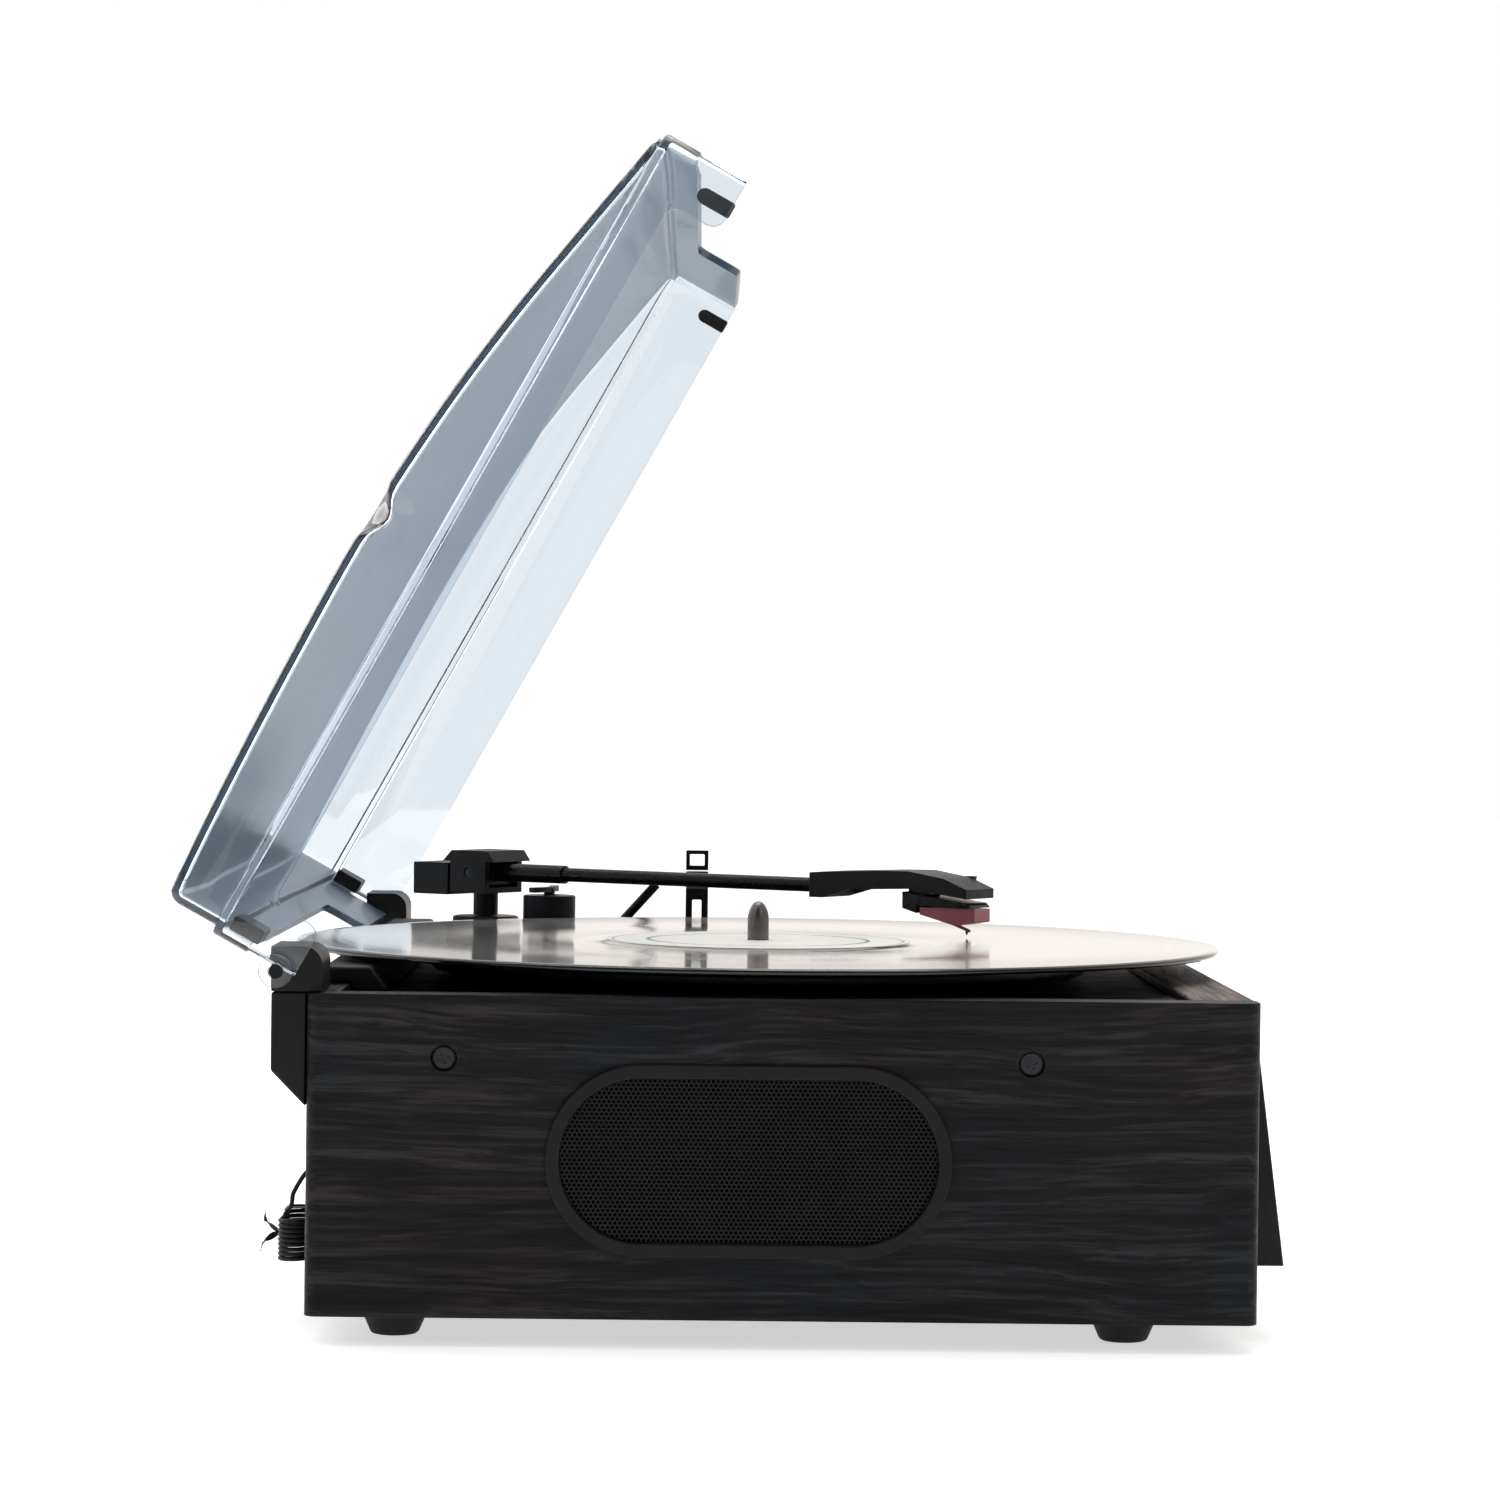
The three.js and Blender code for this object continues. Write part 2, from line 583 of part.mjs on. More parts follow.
const beltMiddle = (hubRingBottom + platterBottom) / 2;
const beltLow = beltMiddle - BELT_HEIGHT / 2;
const beltHigh = beltMiddle + BELT_HEIGHT / 2;
const beltRing = (extra) => beltOutline(spindleX, spindleY, HUB_RING_RADIUS + GAP + extra,
  pulleyX, pulleyY, PULLEY_RADIUS + GAP + extra);
add('drive_belt', prismZ(beltRing(BELT_THICKNESS), beltLow, beltHigh, 16)
  .subtract(prismZ(beltRing(0), beltLow - CUT, beltHigh + CUT, 16)), rubber);
add('motor_pulley', rodZ(pulleyX, pulleyY, wellFloor + GAP, platterBottom - GAP, PULLEY_RADIUS, 20)
  .subtract(rodZ(pulleyX, pulleyY, 0, platterBottom - 1, MOTOR_SHAFT_RADIUS + GAP, 12)), steel);
const motorTop = deckBottom - GAP;
add('motor', rodZ(pulleyX, pulleyY, motorTop - MOTOR_HEIGHT, motorTop, MOTOR_RADIUS)
  .add(rodZ(pulleyX, pulleyY, motorTop - CUT, platterBottom - 1 - GAP, MOTOR_SHAFT_RADIUS, 12)),
steel);

// ---- Lid and its hinges ----------------------------------------------------------------------

const lidGroup = new THREE.Group();
lidGroup.position.set(0, hingeY, hingeZ);
lidGroup.rotation.x = -LID_OPEN_ANGLE * DEGREE;
recordPlayer.add(lidGroup);

// The skirt and the dome as one solid, drawn in by a wall's thickness for the inside.
function lidForm(inset) {
  const middle = -lidLength / 2;
  const skirtOutline = roundedRectangle(0, middle, CABINET_WIDTH - 2 * inset,
    lidLength - 2 * inset, LID_CORNER_RADIUS - inset);
  const low = LID_RIM - (inset > 0 ? CUT : 0);
  const skirt = prismZ(skirtOutline, low, LID_SKIRT_TOP - inset, 4);
  const step = inset + LID_STEP;
  const domeOutline = roundedRectangle(0, middle, CABINET_WIDTH - 2 * step,
    lidLength - 2 * step, Math.max(LID_CORNER_RADIUS - inset - 1, 1));
  const dome = prismZ(domeOutline, LID_SKIRT_TOP - 2 * inset - CUT, DOME_CROWN_UP + CUT, 4)
    .intersect(prismX(polygon([
      [0, LID_RIM], [-step, DOME_BACK_UP - 4 - inset], [-step - 4, DOME_BACK_UP - inset],
      [-DOME_CROWN_ALONG, DOME_CROWN_UP - inset], [-DOME_BREAK_ALONG, DOME_BREAK_UP - inset],
      [-lidLength + step, DOME_FRONT_UP - inset], [-lidLength, LID_RIM],
    ]), -CABINET_WIDTH, CABINET_WIDTH));
  return skirt.add(dome);
}

const lidLeft = -CABINET_WIDTH / 2;
const notchLow = LID_RIM - 2 * CUT;
const notchEnd = spindleX + NOTCH_END_FROM_SPINDLE;
const hingeOuter = CABINET_WIDTH / 2 - LID_WALL - 1;
const hingeInner = hingeOuter - HINGE_WIDTH;
const eye = (x0, radius, sides) => rodX(x0, x0 + LID_WALL, 0, 0, radius, sides);
const eyeHole = (x0) => rodX(x0 - CUT, x0 + LID_WALL + CUT, 0, 0, HINGE_PIN_RADIUS + GAP, 16);
const lidShell = lidForm(0).subtract(lidForm(LID_WALL))
  // left wall, between the rear ear and the front tab
  .subtract(box(lidLeft - CUT, -lidLength + TAB_LENGTH, notchLow,
    lidLeft + LID_WALL + CUT, -EAR_LENGTH, NOTCH_TOP))
  // front wall, from the left corner
  .subtract(box(lidLeft + LID_WALL, -lidLength - CUT, notchLow,
    notchEnd, -lidLength + LID_WALL + CUT, NOTCH_TOP))
  // back wall: from the left corner, and over the right hinge
  .subtract(box(lidLeft + LID_WALL, -LID_CORNER_RADIUS, notchLow, notchEnd, CUT, NOTCH_TOP))
  .subtract(box(hingeInner - 2, -LID_CORNER_RADIUS, notchLow, -lidLeft - LID_WALL, CUT,
    NOTCH_TOP))
  .add(eye(lidLeft, HINGE_EYE_RADIUS, 20))
  .add(eye(-lidLeft - LID_WALL, HINGE_EYE_RADIUS, 20))
  .subtract(eyeHole(lidLeft))
  .subtract(eyeHole(-lidLeft - LID_WALL));
add('dust_lid', lidShell, smokyClear, lidGroup);

const bumperY = -lidLength + BUMPER_FROM_FRONT;
for (const [name, sign] of [['left_lid_bumper', -1], ['right_lid_bumper', 1]]) {
  const inner = sign * (CABINET_WIDTH / 2 - LID_WALL - GAP);
  const across = [inner, inner - sign * BUMPER_RADIUS].sort((a, b) => a - b);
  const pad = box(across[0], bumperY - BUMPER_RADIUS, LID_RIM - BUMPER_PROUD,
    across[1], bumperY + BUMPER_RADIUS, LID_RIM + BUMPER_LENGTH - BUMPER_RADIUS)
    .add(rodX(across[0], across[1], bumperY, LID_RIM + BUMPER_LENGTH - BUMPER_RADIUS,
      BUMPER_RADIUS, 16));
  add(name, pad, rubber, lidGroup);
}

// Each hinge: a body on the cabinet's back edge with the pin the lid's eye turns on, a socket
// below it on the back panel, and a leaf that moves with the lid.
function addHinge(side, sign) {
  const low = sign > 0 ? hingeInner : -hingeOuter;
  const high = low + HINGE_WIDTH;
  const faceFront = back - HINGE_IN_FRONT;
  const faceBack = back + HINGE_BEHIND;
  const body = new THREE.Shape();
  body.moveTo(faceFront, top + GAP);
  body.lineTo(faceBack, top + GAP);
  body.lineTo(faceBack, top + HINGE_TOP);
  body.lineTo(faceFront + HINGE_ROUND, top + HINGE_TOP);
  body.absarc(faceFront + HINGE_ROUND, top + HINGE_TOP - HINGE_ROUND, HINGE_ROUND,
    Math.PI / 2, Math.PI, false);
  const pinEnd = sign * CABINET_WIDTH / 2;
  const pinStart = sign * (hingeOuter - HINGE_WIDTH / 2);
  const pin = rodX(Math.min(pinEnd, pinStart), Math.max(pinEnd, pinStart), hingeY, hingeZ,
    HINGE_PIN_RADIUS, 16);
  add(`${side}_hinge_body`, prismX(body, low, high, 5).add(pin), blackPlastic);
  add(`${side}_hinge_socket`, prismX(polygon([
    [back + GAP, top], [back + GAP, top - SOCKET_TOTAL], [faceBack, top - SOCKET_STRAIGHT],
    [faceBack, top],
  ]), low, high), blackPlastic);
  add(`${side}_hinge_leaf`, box(low + LEAF_INSET, -LID_WALL - GAP - LEAF_THICKNESS, LEAF_UP,
    high - LEAF_INSET, -LID_WALL - GAP, LEAF_UP + LEAF_HEIGHT), blackPlastic, lidGroup);
}

addHinge('left', -1);
addHinge('right', 1);

// ---- Tonearm ---------------------------------------------------------------------------------

// The arm is drawn pointing straight ahead (-Y) from its pivot and turned inward as a group.
// "ahead" is the distance from the pivot along the arm.
const armGroup = new THREE.Group();
armGroup.position.set(pivotX, pivotY, armZ);
armGroup.rotation.z = -ARM_INWARD_ANGLE * DEGREE;
recordPlayer.add(armGroup);

const pedestalTop = recordTop + PEDESTAL_ABOVE_RECORD;
const yokeFloorTop = -YOKE_DEPTH;
const yokeFloorBottom = yokeFloorTop - YOKE_FLOOR;
const postBore = 2.5;
add('arm_pedestal', rodZ(pivotX, pivotY, deckTop + GAP, pedestalTop - 1, PEDESTAL_RADIUS, 32)
  .add(rodZ(pivotX, pivotY, deckTop + GAP, deckTop + GAP + PEDESTAL_FLANGE_HEIGHT,
    PEDESTAL_FLANGE_RADIUS, 32))
  .subtract(rodZ(pivotX, pivotY, deckTop + PEDESTAL_FLANGE_HEIGHT, pedestalTop + CUT,
    postBore + GAP, 16)), blackPlastic);

add('arm_yoke', rodZ(0, 0, pedestalTop - 1 + GAP - armZ, yokeFloorTop - 1, POST_RADIUS, 20)
  .add(rodZ(0, 0, deckTop + PEDESTAL_FLANGE_HEIGHT + 1 - armZ, yokeFloorTop - 1, postBore, 16))
  .add(box(-YOKE_OUTER, -YOKE_HALF_LENGTH, yokeFloorBottom, YOKE_OUTER, YOKE_HALF_LENGTH,
    yokeFloorTop))
  .add(box(-YOKE_OUTER, -YOKE_HALF_LENGTH, yokeFloorTop - 1, -YOKE_OUTER + YOKE_CHEEK,
    YOKE_HALF_LENGTH, COVER_RISE))
  .add(box(YOKE_OUTER - YOKE_CHEEK, -YOKE_HALF_LENGTH, yokeFloorTop - 1, YOKE_OUTER,
    YOKE_HALF_LENGTH, COVER_RISE))
  .add(prismX(polygon([
    [-COVER_FRONT, COVER_RISE], [COVER_BACK, COVER_RISE],
    [COVER_BACK - 4, COVER_RISE + COVER_THICKNESS],
    [-COVER_FRONT + 3, COVER_RISE + COVER_THICKNESS],
  ]), -YOKE_OUTER, YOKE_OUTER))
  .subtract(rodX(-YOKE_OUTER - CUT, YOKE_OUTER + CUT, 0, 0, PIVOT_PIN_RADIUS + GAP, 16)),
blackPlastic, armGroup);

add('arm_pivot_pin', rodX(-YOKE_OUTER + 0.4, YOKE_OUTER - 0.4, 0, 0, PIVOT_PIN_RADIUS, 16),
  steel, armGroup);

const blockHalf = YOKE_OUTER - YOKE_CHEEK - 2 * GAP;
const headStart = armLength - HEADSHELL_LENGTH + 5;
const tailEnd = WEIGHT_START + 12;
add('arm_tube', box(-blockHalf, -6, -4.5, blockHalf, 6, COVER_RISE - 1)
  .add(rodY(0, -ARM_COLLAR_END, -5, 0, ARM_COLLAR_RADIUS, 16))
  .add(rodY(0, -headStart + GAP, -5, 0, ARM_TUBE_RADIUS, 16))
  .add(rodY(0, 5, tailEnd, 0, ARM_TUBE_RADIUS, 16))
  .subtract(rodX(-YOKE_OUTER, YOKE_OUTER, 0, 0, PIVOT_PIN_RADIUS + GAP, 16)),
blackPlastic, armGroup);
add('arm_counterweight', box(-WEIGHT_HALF_WIDTH, WEIGHT_START, -WEIGHT_BOTTOM,
  WEIGHT_HALF_WIDTH, WEIGHT_END, WEIGHT_TOP)
  .subtract(rodY(0, WEIGHT_START - CUT, tailEnd + 1, 0, ARM_TUBE_RADIUS + GAP, 16)),
blackPlastic, armGroup);

// Head: (ahead, up) outlines, laid out back from the stylus tip at the arm's full length.
const tip = armLength;
const ahead = (points) => polygon(points.map(([before, up]) => [before - tip, up]));
add('headshell', prismX(ahead([
  [58, 4.7], [58, -3.8], [53, -3.8], [42, -0.7], [18, 0.3], [-5, -2.5], [-5, 0.7],
  [4, 4.2], [18, 6.3], [30, 6.1], [53, 5.1],
]), -HEADSHELL_HALF_WIDTH, HEADSHELL_HALF_WIDTH)
  .subtract(prismX(ahead([
    [49, 4], [49, -6], [40, -6], [12, -6], [12, 3], [30, 4],
  ]), -HEADSHELL_HALF_WIDTH + 2, HEADSHELL_HALF_WIDTH - 2))
  // finger lift on the outer side
  .add(prismX(ahead([
    [13, 0.5], [6, -0.5], [3.4, 1.5], [2.6, 4.6], [6, 4.6], [7.4, 3], [13, 3],
  ]), HEADSHELL_HALF_WIDTH - 0.5, HEADSHELL_HALF_WIDTH + 1.8)), blackPlastic, armGroup);
add('cartridge', prismX(ahead([
  [22, -0.8], [-4, -4], [-5.5, -5.6], [16.2, -5.6], [16.2, -8], [22, -6.4],
]), -6.5, 6.5).add(box(-4, -tip + 13, -3.2, 4, -tip + 21, 2.6)), blackPlastic, armGroup);
const tipDrop = -ARM_ABOVE_RECORD + STYLUS_REST_GAP;
add('stylus', prismX(ahead([
  [15.8, -5.9], [-6, -5.9], [-6, -10.4], [2, -11.7], [15.8, -8.4],
]), -5, 5)
  .add(prismX(ahead([[9, -9.4], [9, -10.6], [-1.2, tipDrop + 1.2], [-1.2, tipDrop + 2]]),
    -0.6, 0.6))
  .add(turned([[0, tipDrop], [0.5, tipDrop + 1], [0.5, tipDrop + 2], [0, tipDrop + 2]],
    0, -tip, 10)), redPlastic, armGroup);

// ---- Cue lift, arm rest and deck switches ------------------------------------------------------

const liftX = pivotX - LIFT_REACH * Math.sin(LIFT_ANGLE * DEGREE);
const liftY = pivotY - LIFT_REACH * Math.cos(LIFT_ANGLE * DEGREE);
const barTop = armZ - ARM_COLLAR_RADIUS - LIFT_BAR_BELOW_TUBE;
const barBottom = barTop - LIFT_BAR_HEIGHT;
const liftTop = barBottom - 1.2;
add('lift_cylinder', rodZ(liftX, liftY, deckTop + GAP, liftTop, LIFT_RADIUS, 28)
  .subtract(rodZ(liftX, liftY, deckTop + 6, liftTop + CUT, LIFT_STEM_RADIUS + GAP, 12)),
blackPlastic);

// The bar is an arc about the arm pivot, so it stays under the tube at every arm angle.
function arcBar() {
  const from = (-90 - LIFT_BAR_INNER_ANGLE) * DEGREE;
  const to = (-90 + LIFT_BAR_OUTER_ANGLE) * DEGREE;
  const shape = new THREE.Shape();
  shape.absarc(0, 0, LIFT_REACH + LIFT_BAR_WIDTH / 2, from, to, false);
  shape.absarc(0, 0, LIFT_REACH - LIFT_BAR_WIDTH / 2, to, from, true);
  return prismZ(shape, barBottom, barTop, 8).translate([pivotX, pivotY, 0]);
}

add('lift_bar', arcBar()
  .add(rodZ(liftX, liftY, deckTop + 10, barTop - 0.5, LIFT_STEM_RADIUS, 12)), blackPlastic);

const leverX = pivotX + CUE_LEVER_FROM_PIVOT;
const leverY = pivotY - CUE_LEVER_AHEAD;
const leverZ = deckTop + CUE_LEVER_ABOVE_DECK;
const leverGroup = new THREE.Group();
leverGroup.position.set(leverX, leverY, leverZ);
leverGroup.rotation.x = CUE_LEVER_LEAN * DEGREE;
recordPlayer.add(leverGroup);
add('cue_lever', rodZ(0, 0, 0, CUE_LEVER_LENGTH, CUE_LEVER_RADIUS, 12)
  .add(rodX(-2.5, 2.5, 0, 0, 2.4, 16))
  .add(box(-2.6, -1.4, CUE_LEVER_LENGTH - 7, 2.6, 1.4, CUE_LEVER_LENGTH)),
blackPlastic, leverGroup);
add('cue_lever_mount', box(leverX - 6, leverY - 6, deckTop + GAP, leverX + 6, leverY + 6,
  leverZ + 2.5).subtract(box(leverX - 3, leverY - 7, deckTop + 1.2, leverX + 3, leverY + 7,
  leverZ + 3.5)), blackPlastic);

const restX = pivotX + REST_AHEAD * Math.sin(PARK_ANGLE * DEGREE);
const restY = pivotY - REST_AHEAD * Math.cos(PARK_ANGLE * DEGREE);
const restFloor = armZ - REST_FLOOR_BELOW_TUBE;
const restRight = restX + ARM_TUBE_RADIUS + 3.4;
add('arm_rest', box(restX - 4, restY - REST_WIDTH / 2, deckTop + GAP,
  restRight, restY + REST_WIDTH / 2, restFloor)
  .subtract(box(restX - 5, restY - REST_WIDTH / 2 + REST_LEG, deckTop + 2,
    restRight + CUT, restY + REST_WIDTH / 2 - REST_LEG, restFloor - REST_FLOOR_THICKNESS))
  .add(box(restRight - 2.4, restY - REST_WIDTH / 2, restFloor - 1,
    restRight, restY + REST_WIDTH / 2, armZ + 0.5)), blackPlastic);

const clipX = restRight - 1.2;
const clipZ = armZ + 1.2;
add('arm_clip', box(clipX - CLIP_WALL / 2, restY - REST_WIDTH / 2, clipZ - 0.3,
  clipX + CLIP_WALL / 2, restY + REST_WIDTH / 2, clipZ + CLIP_HEIGHT)
  .subtract(box(clipX - 2, restY - REST_WIDTH / 2 + CLIP_WALL, clipZ + CLIP_WALL,
    clipX + 2, restY + REST_WIDTH / 2 - CLIP_WALL, clipZ + CLIP_HEIGHT - CLIP_WALL)),
blackPlastic);

for (const [name, y] of [
  ['speed_switch', switchY],
  ['autostop_switch', switchY + SWITCH_SPACING],
]) {
  const middle = y - SWITCH_TRAVEL / 2;
  const stem = box(switchX - SWITCH_KNOB_WIDTH / 4, middle - SWITCH_KNOB_LENGTH / 2,
    deckBottom, switchX + SWITCH_KNOB_WIDTH / 4, middle + SWITCH_KNOB_LENGTH / 2, deckTop + 1);
  const knob = box(switchX - SWITCH_KNOB_WIDTH / 2, middle - SWITCH_KNOB_LENGTH / 2,
    deckTop + GAP, switchX + SWITCH_KNOB_WIDTH / 2, middle + SWITCH_KNOB_LENGTH / 2,
    deckTop + SWITCH_KNOB_RISE);
  add(name, stem.add(knob), blackPlastic);
}

// ---- Front console ---------------------------------------------------------------------------

// The console's face leans back: local Z runs up the face and -Y points out of it.
const consoleTop = top - CONSOLE_TOP_DOWN;
const consoleBottom = top - CONSOLE_BOTTOM_DOWN;
const faceLean = Math.atan2(CONSOLE_BOTTOM_PROUD - CONSOLE_TOP_PROUD,
  consoleTop - consoleBottom);
const faceGroup = new THREE.Group();
faceGroup.position.set(0, front - (CONSOLE_TOP_PROUD + CONSOLE_BOTTOM_PROUD) / 2,
  (consoleTop + consoleBottom) / 2);
faceGroup.rotation.x = -faceLean;
recordPlayer.add(faceGroup);

const facePlace = new THREE.Matrix4().makeRotationX(-faceLean)
  .setPosition(faceGroup.position);

function ontoFace(solid) {
  return solid.transform(facePlace.elements);
}

const buttonXs = Array.from({ length: BUTTON_COUNT },
  (_, at) => (at - (BUTTON_COUNT - 1) / 2) * BUTTON_SPACING);

function faceBlock(x, z, width, height, outer, inner) {
  return box(x - width / 2, -outer, z - height / 2, x + width / 2, inner, z + height / 2);
}

const wedge = (inset) => prismX(polygon([
  [front - GAP, consoleTop - inset], [front - CONSOLE_TOP_PROUD + inset, consoleTop - inset],
  [front - CONSOLE_BOTTOM_PROUD + inset, consoleBottom + inset],
  [front - GAP, consoleBottom + inset],
]), -CONSOLE_WIDTH / 2 + inset, CONSOLE_WIDTH / 2 - inset);
let consoleShell = wedge(0);
const pocketTop = WINDOW_UP - WINDOW_HEIGHT / 2 - 4;
const pocket = prismX(polygon([
  [front - GAP + CUT, (consoleTop + consoleBottom) / 2 + pocketTop],
  [front - CONSOLE_TOP_PROUD - 1, (consoleTop + consoleBottom) / 2 + pocketTop],
  [front - CONSOLE_BOTTOM_PROUD + 1.4 * CONSOLE_WALL, consoleBottom + CONSOLE_WALL],
  [front - GAP + CUT, consoleBottom + CONSOLE_WALL],
]), -CONSOLE_WIDTH / 2 + CONSOLE_WALL, CONSOLE_WIDTH / 2 - CONSOLE_WALL);
consoleShell = consoleShell.subtract(pocket).subtract(ontoFace(faceBlock(0, WINDOW_UP,
  WINDOW_WIDTH + 2 * GAP, WINDOW_HEIGHT + 2 * GAP, CUT, WINDOW_THICKNESS + GAP)));
for (const x of buttonXs) {
  consoleShell = consoleShell.subtract(ontoFace(faceBlock(x, -BUTTON_DOWN,
    BUTTON_WIDTH + 2 * GAP, BUTTON_HEIGHT + 2 * GAP, CUT, CONSOLE_BOTTOM_PROUD)));
}
add('console_shell', consoleShell, blackPlastic);
add('display_window', faceBlock(0, WINDOW_UP, WINDOW_WIDTH, WINDOW_HEIGHT, 0,
  WINDOW_THICKNESS), darkGlass, faceGroup);
const buttonNames = ['power', 'source', 'tune_down', 'tune_up'];
buttonXs.forEach((x, at) => {
  add(`${buttonNames[at] ?? `extra_${at}`}_button`, faceBlock(x, -BUTTON_DOWN, BUTTON_WIDTH,
    BUTTON_HEIGHT, BUTTON_PROUD, BUTTON_DEPTH), blackPlastic, faceGroup);
});

// ---- Back plate, circuit board and aerial wire -------------------------------------------------

const plateBack = back + GAP + PLATE_THICKNESS;
const wireX = plateX + WIRE_EXIT_ALONG;
const wireZ = PLATE_UP + WIRE_EXIT_UP;
let plate = box(plateX - PLATE_WIDTH / 2, back + GAP, PLATE_UP - PLATE_HEIGHT / 2,
  plateX + PLATE_WIDTH / 2, plateBack, PLATE_UP + PLATE_HEIGHT / 2);
for (const [along, up, radius] of [[-12, 6, JACK_RADIUS], [8, 6, JACK_RADIUS],
  [28, 6, JACK_RADIUS - 1.4], [46, 0, JACK_RADIUS - 1.2]]) {
  plate = plate.subtract(rodY(plateX + along, back - CUT, plateBack + CUT, PLATE_UP + up,
    radius, 16));
}
add('jack_plate', plate, blackPlastic);

const boardBottom = bottom + FLOOR_WALL + BOARD_UP;
const boardX = spindleX + 20;
const boardY = front + FRONT_WALL + 20;
add('circuit_board', box(boardX - BOARD_LENGTH / 2, boardY, boardBottom,
  boardX + BOARD_LENGTH / 2, boardY + BOARD_WIDTH, boardBottom + BOARD_THICKNESS)
  .add(box(boardX - 20, boardY + 20, boardBottom + 1, boardX + 5, boardY + 40,
    boardBottom + 14))
  .add(rodZ(boardX + 35, boardY + 40, boardBottom + 1, boardBottom + 22, 7, 16))
  .add(box(boardX - 50, boardY + 8, boardBottom + 1, boardX - 38, boardY + 60,
    boardBottom + 9)), boardGreen);

// The route's points are (behind the cabinet's back, height).
const hankTop = 32.2;
const hankBehind = 7.6;
const wireDrop = 9;
const wirePath = new THREE.CatmullRomCurve3([
  [PLATE_THICKNESS + 2 * GAP, wireZ], [3.6, wireZ - 0.2], [5.4, wireZ - 1.6], [7.4, wireZ - 4.6],
  [wireDrop, wireZ - 7.6], [wireDrop + 0.3, wireZ - 10], [wireDrop, hankTop + GAP],
].map(([behind, up]) => new THREE.Vector3(wireX, back + behind, up)));
const wireSection = new THREE.Shape();
wireSection.absarc(0, 0, WIRE_RADIUS, 0, 2 * Math.PI, false);
add('aerial_wire', solidOf(new THREE.ExtrudeGeometry(wireSection,
  { extrudePath: wirePath, steps: 14, curveSegments: 4 })), wireBlack);
add('aerial_hank', prismZ(roundedRectangle(wireX, back + hankBehind, HANK_LENGTH, HANK_WIDTH,
  HANK_WIDTH / 2 - 0.01), hankTop - HANK_HEIGHT, hankTop, 5), wireBlack);

// ---- Origin: under the middle of everything but the free wire, on the standing surface ------

const wireNames = ['aerial_wire', 'aerial_hank'];
const extent = new THREE.Box3();
recordPlayer.updateMatrixWorld(true);
recordPlayer.traverse((piece) => {
  if (piece.isMesh && !wireNames.includes(piece.name)) extent.expandByObject(piece, true);
});
const middle = extent.getCenter(new THREE.Vector3());
recordPlayer.position.set(-middle.x, -middle.y, 0);

export default recordPlayer;
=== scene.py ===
import logging
import math
from collections.abc import Callable
from dataclasses import dataclass
from enum import Enum

import bmesh
import bpy
from mathutils import Matrix, Vector


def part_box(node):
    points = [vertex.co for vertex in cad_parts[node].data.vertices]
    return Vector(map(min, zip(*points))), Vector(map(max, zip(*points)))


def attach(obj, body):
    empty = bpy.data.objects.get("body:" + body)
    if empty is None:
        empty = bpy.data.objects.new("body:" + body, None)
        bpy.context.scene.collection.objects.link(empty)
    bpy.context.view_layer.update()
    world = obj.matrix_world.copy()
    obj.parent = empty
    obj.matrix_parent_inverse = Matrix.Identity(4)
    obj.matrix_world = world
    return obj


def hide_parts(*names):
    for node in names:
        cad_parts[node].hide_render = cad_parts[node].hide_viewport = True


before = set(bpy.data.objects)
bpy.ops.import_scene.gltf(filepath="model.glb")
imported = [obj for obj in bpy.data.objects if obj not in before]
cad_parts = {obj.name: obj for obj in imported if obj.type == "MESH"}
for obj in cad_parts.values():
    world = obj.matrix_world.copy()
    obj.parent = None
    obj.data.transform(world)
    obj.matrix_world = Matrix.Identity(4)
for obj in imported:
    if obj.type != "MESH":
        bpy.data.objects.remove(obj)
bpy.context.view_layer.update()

LOG = logging.getLogger("record_player")
MM = 0.001
CORNER_STEPS = 5

Point = tuple[float, float, float]
Colour = tuple[float, float, float]


# ---- Shared mesh helpers -------------------------------------------------------------------


def link(name: str, mesh: bpy.types.Mesh) -> bpy.types.Object:
    """Put a mesh into the scene as an object at the origin.

    Args:
        name: name of the piece.
        mesh: its mesh, already in place.

    Returns:
        The new object.
    """
    piece = bpy.data.objects.new(name, mesh)
    bpy.context.scene.collection.objects.link(piece)
    return piece


def mesh_piece(name: str, points: list[Point], faces: list[tuple[int, ...]],
               smooth: bool = True) -> bpy.types.Object:
    """Make a piece from points in millimetres and faces.

    Args:
        name: name of the piece.
        points: corners in millimetres.
        faces: tuples of corner numbers.
        smooth: whether the faces shade as one curved surface.

    Returns:
        The new object, in metres.
    """
    mesh = bpy.data.meshes.new(name)
    mesh.from_pydata([(x * MM, y * MM, z * MM) for x, y, z in points], [], faces)
    bm = bmesh.new()
    bm.from_mesh(mesh)
    bmesh.ops.remove_doubles(bm, verts=bm.verts, dist=0.002 * MM)
    bmesh.ops.recalc_face_normals(bm, faces=bm.faces)
    bm.to_mesh(mesh)
    bm.free()
    if smooth:
        smooth_shade(mesh)
    return link(name, mesh)


def smooth_shade(mesh: bpy.types.Mesh, angle: float = 38.0) -> None:
    """Shade a mesh smooth, with its sharper edges left crisp.

    Args:
        mesh: mesh to shade.
        angle: edges over this many degrees stay crisp.
    """
    for face in mesh.polygons:
        face.use_smooth = True
    mesh.set_sharp_from_angle(angle=math.radians(angle))


def settle(piece: bpy.types.Object) -> bpy.types.Object:
    """Bake a piece's modifiers into its mesh.

    Args:
        piece: object with modifiers.

    Returns:
        The same object, with a plain mesh and no modifiers.
    """
    bpy.context.view_layer.update()
    graph = bpy.context.evaluated_depsgraph_get()
    mesh = bpy.data.meshes.new_from_object(piece.evaluated_get(graph))
    mesh.name = piece.name
    old = piece.data
    piece.modifiers.clear()
    piece.data = mesh
    bpy.data.meshes.remove(old)
    return piece


